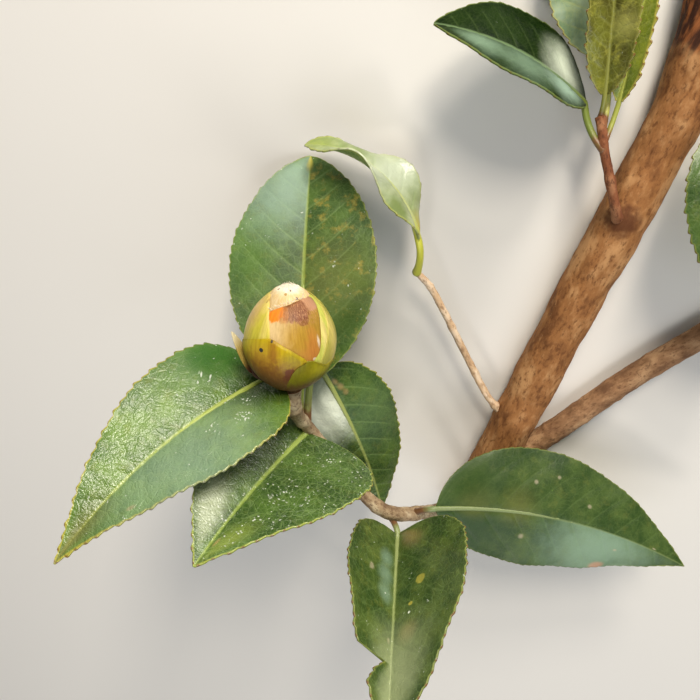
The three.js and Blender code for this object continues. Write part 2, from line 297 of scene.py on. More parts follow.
def wire(kind, inputs, output=0, tree=None, **settings):
    """Adds a shader node to the given tree, or to that of its inputs. The result is one output."""
    tree = tree or next(value.socket.id_data for value in inputs.values() if isinstance(value, Tone))
    made = tree.nodes.new("ShaderNode" + kind)
    for key, value in settings.items():
        setattr(made, key, value)
    feed(made, inputs)
    return Tone(made.outputs[output])


def kept(shader, name, output="Vector"):
    """What a piece keeps at each of its points under the given name"""
    return wire("Attribute", {}, output, shader.id_data, attribute_name=name)


def object_place(shader):
    return wire("TexCoord", {}, "Object", shader.id_data)


def split(vector):
    """The three numbers of a vector"""
    return [Tone(part) for part in wire("SeparateXYZ", {0: vector}).socket.node.outputs]


def maths(operation, a, b=0.0):
    return wire("Math", {0: a, 1: b}, operation=operation)


def blend(share, a, b, blend_type="MIX"):
    return wire("Mix", {0: share, 6: a, 7: b}, 2, data_type="RGBA", blend_type=blend_type)


def band(value, low, high):
    """0 below low and 1 above high, with a soft step between, or the other way round"""
    return wire("MapRange", {0: value, 1: low, 2: high}, interpolation_type="SMOOTHSTEP")


def grain(vector, size, detail=2.0, rough=0.5):
    """Noise whose grains have the given size, in the units of the vector"""
    return wire("TexNoise", {"Vector": vector, "Scale": 1 / size, "Detail": detail, "Roughness": rough})


def along_limb(shader, bearing, stretch):
    """Object coordinates in millimetres, squeezed along a limb that lies at the given bearing"""
    inputs = {
        "Vector": object_place(shader),
        "Rotation": (0, 0, math.radians(bearing)),
        "Scale": (stretch * MM, MM, MM),
    }
    return wire("Mapping", inputs, vector_type="TEXTURE")


def embossed(shader, height, strength, depth):
    """Fine relief of the given depth in millimetres, over the whole of a material"""
    relief = wire("Bump", {"Strength": strength, "Distance": depth * MM, "Height": height})
    feed(shader, {"Normal": relief})
    return relief


def bark(name, bearing, tan, pale, dark, coarse, crack):
    """Bark: patches of three browns, drawn out along the limb, with fine cracks and small pores.
    The result is the material, its shader and its colour, for what goes over it."""
    material, shader = painter(name, tan, 0.8)
    patches = grain(along_limb(shader, bearing, 1.8), coarse, 4, 0.6)
    fine = grain(along_limb(shader, bearing, 2.0), crack, 5, 0.7)
    color = blend(band(patches, 0.46, 0.66), tan, pale)
    color = blend(band(patches, 0.46, 0.30) * 0.75, color, dark)
    color = blend(band(fine, 0.50, 0.34) * 0.75, color, dark)
    color = blend(band(fine, 0.55, 0.72) * 0.5, color, pale)
    feed(shader, {"Base Color": color, "Specular IOR Level": 0.2})
    embossed(shader, fine + patches * 0.8, 0.9, 0.25)
    return material, shader, color


def cut_wood(name):
    """The pale end grain of a cut face, with faint growth rings"""
    material, shader = painter(name, WOOD_PALE, 0.75)
    place = along_limb(shader, 0, 1)
    heart = kept(shader, "heart", "Fac")
    rings = maths("SINE", (heart + grain(place, 2.5, 3) * 0.25) * GROWTH_RINGS)
    color = blend(band(rings, 0.1, 0.9), WOOD_PALE, WOOD_RING)
    color = blend(band(heart, 0.10, 0.04), color, STEM_DARK)
    color = blend(band(heart, 0.86, 0.97), color, STEM_TAN)
    feed(shader, {"Base Color": color})
    embossed(shader, grain(place, 0.35, 2), 0.5, 0.1)
    return material


END_GRAIN = cut_wood("cut_wood")


def dressed(piece, skin, node):
    """Gives a limb its bark, its cut faces their end grain, and its place in the frame"""
    piece.data.materials.append(skin)
    piece.data.materials.append(END_GRAIN)
    heart = piece.data.attributes["heart"].data
    for face in piece.data.polygons:
        face.material_index = int(any(heart[v].value < 1 for v in face.vertices))
    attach(piece, "root")
    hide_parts(node)


collar = spot(*COLLAR_AT)


def stem_relief(point, share):
    """Rough bark over the swelling of the collar"""
    near = max(0.0, 1 - (point - collar).length / (COLLAR_REACH * MM))
    return COLLAR_RISE * near * near * (3 - 2 * near) + roughened(point, STEM_GRAINS)


def main_bark():
    """Tan bark with a dark ragged stain at the collar, and old torn bark at the top of the stem"""
    skin, shader, color = bark("tan_bark", STEM_BEARING, STEM_TAN, STEM_PALE, STEM_DARK, 4.5, 1.0)
    plain = along_limb(shader, STEM_BEARING, 1)
    from_collar = wire("VectorMath", {0: object_place(shader), 1: collar}, "Value", operation="DISTANCE")
    ringed = grain(plain, 1.6, 3) * (COLLAR_RAG * MM) + from_collar
    outer, inner = COLLAR_STAIN
    color = blend(band(ringed, outer * MM, inner * MM) * 0.9, color, COLLAR_BROWN)
    fissures = grain(along_limb(shader, FISSURE_BEARING, FISSURE_STRETCH), 1.6, 4, 0.6)
    old_bark = blend(band(fissures, 0.42, 0.66), TOP_DARK, TOP_RUST)
    torn = grain(along_limb(shader, OLD_BARK_BEARING, 1), 3.0, 3) * (OLD_BARK_RAG * MM)
    torn = torn + split(object_place(shader))[1]
    start, full = [spot(0, y, 0).y for y in OLD_BARK_FROM]
    feed(shader, {"Base Color": blend(band(torn, start, full), color, old_bark)})
    return skin


stem_line = smooth_line(MAIN_STEM, STEM_STEPS)
main_stem = rolled("main_stem_bark", stem_line, STEM_SIDES, stem_relief)
dressed(main_stem, main_bark(), "main_stem")

# The side stem is a slimmer, greyer one that leaves the main stem near its foot. The twigs are
# this year's growth: smooth thin bark with swollen joints where leaves were set.
SIDE_STEM = [
    ((15.2, -121.9, 4.0), 3.3),
    ((28.5, -108.5, 3.5), 3.1),
    ((45.5, -90.0, 3.4), 3.0),
    ((69.0, -68.5, 3.3), 2.9),
]
BUD_SHOOT = [
    ((7.6, -136.8, 6.0), 2.5),
    ((0.5, -131.5, 15.0), 1.8),
    ((-6.0, -126.5, 24.0), 1.8),
    ((-14.5, -120.5, 32.5), 1.9),
    ((-22.0, -113.5, 33.5), 1.5),
    ((-28.0, -105.0, 34.0), 1.4),
    ((-32.5, -97.0, 35.0), 1.4),
    ((-35.1, -89.5, 39.3), 1.6),
    ((-35.4, -84.5, 42.5), 1.8),
    ((-35.4, -79.4, 43.0), 2.1),
]
THIN_TWIG = [
    ((15.2, -105.0, 6.2), 1.6),
    ((9.0, -100.0, 7.1), 0.95),
    ((1.0, -86.0, 7.2), 0.9),
    ((-7.5, -70.0, 8.0), 0.85),
    ((-12.0, -64.0, 9.5), 0.85),
]
SPRAY_TWIG = [
    ((32.8, -49.6, 8.2), 1.7),
    ((31.0, -46.0, 12.8), 1.15),
    ((28.5, -39.0, 13.2), 1.0),
    ((26.3, -32.5, 11.8), 1.0),
    ((25.0, -26.6, 9.2), 1.0),
]
EDGE_TWIG = [
    ((42.3, -14.0, 7.4), 1.3),
    ((44.0, -17.5, 12.0), 0.9),
    ((46.8, -20.5, 11.9), 0.8),
]
TWIG_SIDES = 28
SIDE_BROWNS = ((0.25, 0.130, 0.062), (0.40, 0.235, 0.12), (0.11, 0.05, 0.024))
SHOOT_BROWNS = ((0.30, 0.21, 0.12), (0.50, 0.40, 0.26), (0.10, 0.05, 0.028))
THIN_BROWNS = ((0.54, 0.36, 0.21), (0.70, 0.54, 0.38), (0.26, 0.14, 0.07))
YOUNG_REDS = ((0.17, 0.056, 0.022), (0.31, 0.14, 0.065), (0.06, 0.019, 0.009))
TWIGS = [
    ("side_stem", SIDE_STEM, STEM_SIDES, "side_bark", 42, SIDE_BROWNS),
    ("bud_shoot", BUD_SHOOT, TWIG_SIDES, "shoot_bark", 140, SHOOT_BROWNS),
    ("thin_twig", THIN_TWIG, TWIG_SIDES, "twig_bark", 115, THIN_BROWNS),
    ("spray_twig", SPRAY_TWIG, TWIG_SIDES, "young_bark", 108, YOUNG_REDS),
    ("edge_twig", EDGE_TWIG, TWIG_SIDES, "young_bark", -60, YOUNG_REDS),
]
TWIG_GRAINS = [(2.2, 0.12, 1), (0.7, 0.07, 1)]
RINGS_PER_MM = 2.4
MEASURING_STEPS = 40
JOINT_PITCH = 11.0
JOINT_RISE = 0.16


def twig_relief(joints):
    """The relief of a twig: small swollen joints, with fine bark between them"""

    def relief(point, share):
        joint = max(0.0, math.cos(share * 2 * math.pi * joints)) ** 8
        return JOINT_RISE * joint + roughened(point, TWIG_GRAINS)

    return relief


for node_name, stations, sides, slot, bearing, browns in TWIGS:
    course = smooth_line(stations, MEASURING_STEPS)
    length = sum((b[0] - a[0]).length for a, b in zip(course, course[1:])) / MM
    relief = twig_relief(max(1, round(length / JOINT_PITCH)))
    line = smooth_line(stations, round(length * RINGS_PER_MM))
    twig = rolled(node_name + "_bark", line, sides, relief)
    skin, _, _ = bark(node_name + "_skin", bearing, *browns, 3.5, 0.7)
    dressed(twig, skin, node_name)

# The leaves are stiff leathery blades, glossy above and paler and duller beneath. Each has a pale
# midrib, arching side veins in a fine net, and a yellow margin of small brown-tipped teeth. A short
# fleshy stalk carries it, runs on under the blade as its rib and is set in a joint of the twig.
TEETH_PITCH = 2.1
TOOTH_DEPTH = 0.52
TOOTH_CLIMB = 0.75
TOOTH_FALL = 0.2
TOOTH_UNEVEN = 0.4
TEETH_START = 0.12
TEETH_END = 0.04
EDGE_SHARE = 0.14
RINGS_PER_TOOTH = 6
HALF_COLUMNS = 28
SOURCE_STEPS = 16
BLADE_END_HALF = 0.12
GROOVE_DEPTH = 0.22
GROOVE_HALF = 0.9
VEIN_PITCH_SHARE = 0.115
VEIN_SLOPE = 0.62
VEIN_CURVE = 0.018
VEIN_DEPTH = 0.13
VEIN_SHARE = 0.25
QUILT_RISE = 0.10
QUILT_GRAIN = 1.7
BILLOW_RISE = 0.25
BILLOW_GRAIN = 6.0
NET_CELL = 1.7
FINE_CELL = 0.8
SPECK_CELL = 0.75
MARK_RAG = 0.8
MARK_RIM = 1.4
DUST_RAG = 1.2
SEED_STEP = 31.0
STALK_SIDES = 16
STALK_STEPS = 26
STALK_LEAD = 0.4
STALK_SWELL = 0.35
RIB_SUNK = 0.35
RIB_TAPER = 0.82
RIB_TIP = 0.12
RIB_END = 0.93
STALK_FLATNESS = 0.85
OWN_HALF_FROM = 0.3

GREEN = dict(
    deep=(0.024, 0.052, 0.006), fresh=(0.066, 0.115, 0.017), gold=(0.26, 0.25, 0.04),
    pale=(0.19, 0.28, 0.09), rib=(0.34, 0.38, 0.08), margin=(0.38, 0.36, 0.05),
    under=(0.13, 0.20, 0.045), under_pale=(0.20, 0.27, 0.075), gold_left=0.12, gold_right=0.2,
    veins=0.28, net=0.10, fine_net=0.10, rib_share=0.8, rib_half=0.55, margin_share=0.65,
    dust=0.3, rough=0.32, coat=0.2, shine=0.4, wrinkle=0.7, brown_to=0.75,
)
YOUNG = dict(
    GREEN, deep=(0.11, 0.15, 0.012), fresh=(0.24, 0.28, 0.025), gold=(0.45, 0.42, 0.06),
    pale=(0.45, 0.46, 0.13), rib=(0.55, 0.56, 0.13), margin=(0.48, 0.40, 0.07),
    under=(0.25, 0.31, 0.06), under_pale=(0.32, 0.37, 0.09),
)
TOOTH_BROWN = (0.14, 0.05, 0.015)
DUST_WHITE = (0.76, 0.79, 0.70)
STALK_BROWN = (0.16, 0.07, 0.025)
SPOT_PALE = (0.36, 0.31, 0.21)
SPOT_TAN = (0.30, 0.20, 0.08)
SPOT_YELLOW = (0.45, 0.38, 0.06)
SPOT_GOLD = (0.40, 0.38, 0.10)
SCAR_PINK = (0.40, 0.22, 0.14)
# Painted sheen: white, pale and bluish colours painted on the leaves as marks where they would reflect the
# lamps. The broad dim sheens are partly a greyish bloom as well.
PAINTED_SHEEN_WHITE = (0.54, 0.59, 0.47)
PAINTED_SHEEN_BRIGHT = (0.74, 0.78, 0.63)
PAINTED_SHEEN_PALE = (0.38, 0.42, 0.28)
PAINTED_SHEEN_COOL = (0.27, 0.38, 0.29)
PAINTED_SHEEN_DIM = (0.18, 0.27, 0.18)
# A greyish bloom, partly painted sheen.
BLOOM_AND_PAINTED_SHEEN_GREY = (0.27, 0.31, 0.16)
BLOOM_YELLOW = (0.25, 0.30, 0.05)
FRESH_GREEN = (0.09, 0.22, 0.02)
# Painted shade: a deep, saturated green painted at the foot of leaf_left, where the bud shades it.
PAINTED_SHADE_FOOT_GREEN = (0.012, 0.080, 0.001)
OLIVE_WASH = (0.14, 0.135, 0.03)
# Painted shade: a darker green painted where the bud and other leaves shade a leaf.
PAINTED_SHADE_GREEN = (0.016, 0.040, 0.004)


def turned_frame(heading, pitch, roll):
    """Directions along a midrib, to its left and out of its upper face"""
    level = Quaternion((0, 0, 1), math.radians(heading))
    along = level @ (Quaternion((0, 1, 0), -math.radians(pitch)) @ Vector((1, 0, 0)))
    left = Quaternion(along, math.radians(roll)) @ (level @ Vector((0, 1, 0)))
    return [along, left, along.cross(left)]


def turn_on(frame, leaf, share):
    """Turns a midrib's frame by a share of the leaf's whole twist, sweep and droop"""
    turns = [(frame[0].copy(), "twist"), (frame[2].copy(), "sweep"), (frame[1].copy(), "droop")]
    for axis, key in turns:
        turn = Quaternion(axis, math.radians(leaf[key] * share))
        for arrow in frame:
            arrow.rotate(turn)


def midrib_course(leaf, steps):
    """The centre and frame at every step from the foot of a blade to its tip"""
    frame = turned_frame(*leaf["turn"])
    turn_on(frame, leaf, -0.5 / SOURCE_STEPS)
    centre = spot(*leaf["foot"])
    course = []
    for i in range(steps + 1):
        course.append((centre.copy(), [arrow.copy() for arrow in frame]))
        turn_on(frame, leaf, 0.5 / steps)
        centre += frame[0] * (leaf["length"] * MM / steps)
        turn_on(frame, leaf, 0.5 / steps)
    return course


def half_outline(leaf, s):
    """Half the blade's width at s, from 0 at its foot to 1 at its tip"""
    full, long = leaf["full_base"], leaf["long_tip"]
    widest = full / (full + long)
    shape = s**full * (1 - s) ** long / (widest**full * (1 - widest) ** long)
    return leaf["width"] / 2 * shape


def side_vein(leaf, across, along):
    """How near a point is to a side vein: 1 on it, 0 between two"""
    pitch = VEIN_PITCH_SHARE * leaf["length"]
    path = (along - VEIN_SLOPE * np.abs(across) - VEIN_CURVE * across**2) / pitch
    path = path + 0.5 * (across > 0)
    return 1 - 2 * np.abs(path - np.floor(path) - 0.5)


def ramp(value, span):
    """0 to 1 as a value runs from nothing over the given span, and level beyond"""
    return np.clip(value / span, 0, 1)


def noise_at(x, y, seed, size):
    """Noise with grains of the given size, at many points of a blade at once"""
    return np.array([noise.noise(Vector((*at, seed)) / size) for at in zip(x, y)])


def keep(piece, name, values):
    """Keeps three numbers under a name at each point of a piece, for its materials to read"""
    attribute = piece.data.attributes.new(name, "FLOAT_VECTOR", "POINT")
    attribute.data.foreach_set("vector", np.ravel(values))


def walled(piece, thickness, under_skin=0):
    """Thickens a sheet downwards by some millimetres. Its under side takes a later skin."""
    wall = piece.modifiers.new("wall", "SOLIDIFY")
    wall.thickness = thickness * MM
    wall.offset = -1
    wall.material_offset = under_skin
    bpy.ops.object.modifier_apply(modifier="wall")
    return closed(piece)


def blade(leaf, skins):
    """The blade, formed from a flat grid: outline and teeth, fold and curl, grooves and quilting"""
    seed = leaf["seed"]
    teeth = round(leaf["length"] / TEETH_PITCH)
    rings = teeth * RINGS_PER_TOOTH
    columns = 2 * HALF_COLUMNS
    piece = fresh_grid(leaf["name"] + "_blade", columns, rings)
    flat = np.empty(len(piece.data.vertices) * 3)
    piece.data.vertices.foreach_get("co", flat)
    flat = flat.reshape(-1, 3)
    row = np.rint((flat[:, 1] + 0.5) * rings).astype(int)
    share = 1 - np.rint((flat[:, 0] + 0.5) * columns) / HALF_COLUMNS
    side = np.sign(share)
    t = 0.5 * np.abs(share) + 0.25 * (1 - np.cos(np.pi * np.abs(share)))
    s = row / rings

    half = half_outline(leaf, s) * (1 + side * leaf["uneven"])
    if leaf["tear"]:
        start, end, left = leaf["tear"]
        open_share = left + (1 - left) * ramp(s - start, end - start)
        half = np.where((side < 0) & (s >= start), half * open_share, half)
    half = np.maximum(half, leaf["stalk_radius"] * (1 - s) ** 6) + BLADE_END_HALF
    phase = s * teeth - np.floor(s * teeth)
    tooth = TOOTH_DEPTH * ramp(phase, TOOTH_CLIMB) * ramp(1 - phase, TOOTH_FALL)
    tooth = tooth * (1 + TOOTH_UNEVEN * np.sin(np.floor(s * teeth) * 2.4 + side + seed))
    toothed = ramp(s, TEETH_START) * ramp(1 - s, TEETH_END) * leaf["toothing"]
    half = half + tooth * toothed * ramp(t - (1 - EDGE_SHARE), EDGE_SHARE) ** 2

    fold = math.radians(leaf["fold"])
    curl = math.radians(leaf["curl"])
    slope = fold - curl * t
    across = half * (np.sin(fold) - np.sin(slope)) / curl
    lift = half * (np.cos(slope) - np.cos(fold)) / curl
    out = side * half * t
    along = s * leaf["length"]
    wave = leaf["wave"] * t**3 * np.sin(2 * np.pi * (along / leaf["wave_pitch"] + 0.3 * side))
    quilt = QUILT_RISE * leaf["quilt"] * noise_at(out, along, seed, QUILT_GRAIN)
    billow = BILLOW_RISE * t * noise_at(out, along, seed + 9, BILLOW_GRAIN)
    groove = GROOVE_DEPTH * np.exp(-((half * t / GROOVE_HALF) ** 2)) * (1 - s)
    vein = ramp(side_vein(leaf, out, along) - (1 - VEIN_SHARE), VEIN_SHARE) ** 1.5
    vein = VEIN_DEPTH * vein * ramp(1 - t, 0.3)
    fade = ramp(1 - t, 0.08) * ramp(half, 3)
    rise = (quilt + billow - groove - vein) * fade + wave * ramp(half, 6)

    course = midrib_course(leaf, rings)
    centre = np.array([c for c, _ in course])[row]
    left = np.array([f[1] for _, f in course])[row]
    upper = np.array([f[2] for _, f in course])[row]
    out_side = (side * (across - rise * np.sin(slope)))[:, None]
    out_up = (lift + rise * np.cos(slope))[:, None]
    shaped = centre + MM * (left * out_side + upper * out_up)
    piece.data.vertices.foreach_set("co", shaped.ravel())
    keep(piece, "lay", np.stack([out, along, half * (1 - t)], 1))
    keep(piece, "share", np.stack([side * t, s, phase], 1))
    piece.data.update()
    for skin in skins:
        piece.data.materials.append(skin)
    return walled(piece, leaf["thickness"], 1)


def stalk(leaf):
    """The stalk as a tube from the twig to the blade, and on beneath it as a tapering rib"""
    radius = leaf["stalk_radius"]
    course = midrib_course(leaf, STALK_STEPS)
    start = spot(*leaf["stalk"])
    foot, (onward, _, above) = course[0]
    reach = (foot - start).length
    bend = spot(*leaf["bend"]) if leaf["bend"] else foot - onward * STALK_LEAD * reach
    points = []
    for i in range(STALK_STEPS):
        t = i / STALK_STEPS
        point = start * (1 - t) ** 2 + bend * (2 * t * (1 - t)) + foot * t**2
        sunk = RIB_SUNK * radius * t**3
        swell = 1 + STALK_SWELL * (1 - t) ** 6
        points.append((point - above * (sunk * MM), radius * swell * MM))
    for i in range(round(RIB_END * STALK_STEPS) + 1):
        centre, (_, _, upper) = course[i]
        s = i / STALK_STEPS
        thin = radius * (RIB_TAPER * (1 - s) + RIB_TIP)
        sunk = RIB_SUNK * radius + (leaf["thickness"] - RIB_SUNK * thin) * min(1, 5 * s)
        points.append((centre - upper * (sunk * MM), thin * MM))
    last = len(points) - 1
    line = []
    for i, (point, size) in enumerate(points):
        ahead = points[min(i + 1, last)][0] - points[max(i - 1, 0)][0]
        line.append((point, ahead.normalized(), size))
    tube = rolled(leaf["name"] + "_stalk", line, STALK_SIDES, flat=STALK_FLATNESS, upward=above)
    shares = [min(2.0, (vertex.co - start).length / max(reach, MM)) for vertex in tube.data.vertices]
    keep(tube, "share", [(0, share, 0) for share in shares])
    return tube


def joined(pieces):
    """Joins pieces into the first of them"""
    bpy.ops.object.select_all(action="DESELECT")
    for piece in pieces:
        piece.select_set(True)
    bpy.context.view_layer.objects.active = pieces[0]
    bpy.ops.object.join()
    return pieces[0]


def grown(leaf, skins, foot_skin):
    """Makes a leaf of its blade and its stalk, in their skins, and gives it its place in the frame"""
    piece = blade(leaf, skins)
    tube = stalk(leaf)
    tube.data.materials.append(foot_skin)
    joined([piece, tube])
    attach(piece, "root")
    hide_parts(leaf["name"])


def cells(vector, size, feature="DISTANCE_TO_EDGE"):
    """How far a point is from the edge of a net's meshes of the given size, or from their middle"""
    return wire("TexVoronoi", {"Vector": vector, "Scale": 1 / size}, "Distance", feature=feature)


def length_of(vector):
    return wire("VectorMath", {0: vector}, "Value", operation="LENGTH")


def away_from(share, leaf, at_t, at_s):
    """How far, in millimetres along the blade, a shaded point lies from a place on it"""
    return length_of((share - (at_t, at_s, 0)) * (leaf["width"] / 2, leaf["length"], 0))


def upper_skin(leaf, look):
    """The glossy upper face: green over a net of pale veins, yellow at the margin, with its marks, painted
    sheen and painted shade among them
    """
    material, shader = painter(leaf["name"] + "_upper", look["fresh"], look["rough"])
    lay, share = kept(shader, "lay"), kept(shader, "share")
    x, y, edge = split(lay)
    t, s, phase = split(share)
    width = maths("ABSOLUTE", x)
    here = (lay + (leaf["seed"] * SEED_STEP, 0, 0)) * (1, 1, 0)

    color = blend(band(grain(here, 7.0, 3, 0.55), 0.36, 0.66), look["deep"], look["fresh"])
    mottle = grain(here, 3.2, 5, 0.7)
    gilt = band(t, 0.10, -0.10) * (look["gold_right"] - look["gold_left"]) + look["gold_left"]
    color = blend(band(mottle, 0.50, 0.70) * gilt, color, look["gold"])

    pitch = VEIN_PITCH_SHARE * leaf["length"]
    path = y - width * VEIN_SLOPE - width * width * VEIN_CURVE
    path = maths("PINGPONG", path + maths("GREATER_THAN", x) * (0.5 * pitch), pitch / 2)
    on_vein = band(path, pitch / 2 - 0.45, pitch / 2 - 0.05) * band(maths("ABSOLUTE", t), 0.95, 0.55)
    color = blend(on_vein * look["veins"], color, look["pale"])
    bend = grain(here, 9.0) * 5.0
    wavy = here + wire("CombineXYZ", {0: bend, 1: bend})
    net = cells(wavy, NET_CELL)
    color = blend(band(net, 0.07, 0.015) * look["net"], color, look["pale"])
    color = blend(band(cells(wavy, FINE_CELL), 0.12, 0.02) * look["fine_net"], color, look["pale"])

    rib_half = s * (-0.7 * look["rib_half"]) + look["rib_half"]
    color = blend(band(width - rib_half, 0.25, -0.20) * look["rib_share"], color, look["rib"])
    color = blend(band(edge, 0.34, 0.06) * look["margin_share"], color, look["margin"])
    toothed = band(edge, 0.16, 0.03) * band(phase, 0.58, 0.74)
    color = blend(toothed * (0.8 * leaf["toothing"]), color, TOOTH_BROWN)

    # Marks: spots and washes of the leaf's own colour, painted sheen and painted shade. One away from the
    # midrib stays on its own half.
    for at_t, at_s, size, soft, mark_color, strength in leaf["marks"]:
        away = mottle * (MARK_RAG * size) + away_from(share, leaf, at_t, at_s)
        mark = band(away, size * (MARK_RIM + soft), size * (MARK_RIM - soft))
        if abs(at_t) >= OWN_HALF_FROM:
            mark = mark * band(t * math.copysign(1, at_t), -0.03, 0.03)
        color = blend(mark * strength, color, mark_color)
    rare = 0.72 - 0.2 * look["dust"]
    dusty = band(grain(here, 2.6, 4, 0.75), rare, rare + 0.08)
    for at_t, at_s, size in leaf["dust_at"]:
        away = mottle * (DUST_RAG * size) + away_from(share, leaf, at_t, at_s)
        dusty = maths("MAXIMUM", dusty, band(away, 1.9 * size, 1.2 * size))
    dust = band(cells(wavy, SPECK_CELL, "F1"), 0.37, 0.22) * dusty
    color = blend(dust * 0.62, color, DUST_WHITE)

    rough = maths("MAXIMUM", mottle * 0.18 + (look["rough"] - 0.09), dust * 0.8)
    coat = look["coat"]
    for at_t, at_s, size, strength in leaf["matte_at"]:
        away = mottle * (MARK_RAG * size) + away_from(share, leaf, at_t, at_s)
        matte = band(away, 2.3 * size, 0.5 * size) * strength
        rough = maths("MAXIMUM", rough, matte)
        if look["coat"] > 0:
            coat = (matte * -1.0 + 1.0) * coat
    feed(shader, {"Base Color": color, "Roughness": rough, "Specular IOR Level": look["shine"]})
    height = grain(here, 0.5, 2, 0.6) + band(net, 0.14, 0.0) * -0.3 + dust * 0.5
    relief = embossed(shader, height, 0.75, 0.16 * look["wrinkle"])
    feed(shader, {"Coat Weight": coat, "Coat Roughness": 0.22, "Coat Normal": relief})
    return material


def lower_skin(leaf, look):
    """The dull underside: paler and yellower, its veins a little raised"""
    material, shader = painter(leaf["name"] + "_under", look["under"], 0.55)
    lay = kept(shader, "lay")
    net = cells(lay, 1.1)
    color = blend(band(grain(lay, 5.0, 4, 0.6), 0.35, 0.65), look["under"], look["under_pale"])
    color = blend(band(net, 0.12, 0.02) * 0.3, color, look["rib"])
    color = blend(band(split(lay)[2], 0.7, 0.1) * 0.7, color, look["margin"])
    feed(shader, {"Base Color": color})
    embossed(shader, grain(lay, 0.6, 3) - band(net, 0.0, 0.15), 0.5, 0.1)
    return material


def stalk_skin(leaf, look):
    """The stalk: fleshy yellow-green, turning brown where it is set in the twig"""
    material, shader = painter(leaf["name"] + "_stalk", look["rib"], 0.42)
    place = along_limb(shader, 0, 1)
    reach = split(kept(shader, "share"))[1]
    color = blend(band(reach, 1.0, 1.5), look.get("stalk", look["rib"]), look["rib"])
    worn = grain(place, 1.5, 3) * 0.5 + reach
    color = blend(band(worn, look["brown_to"], look["brown_to"] - 0.35), color, STALK_BROWN)
    feed(shader, {"Base Color": color})
    embossed(shader, grain(place, 0.5, 3), 0.4, 0.12)
    return material
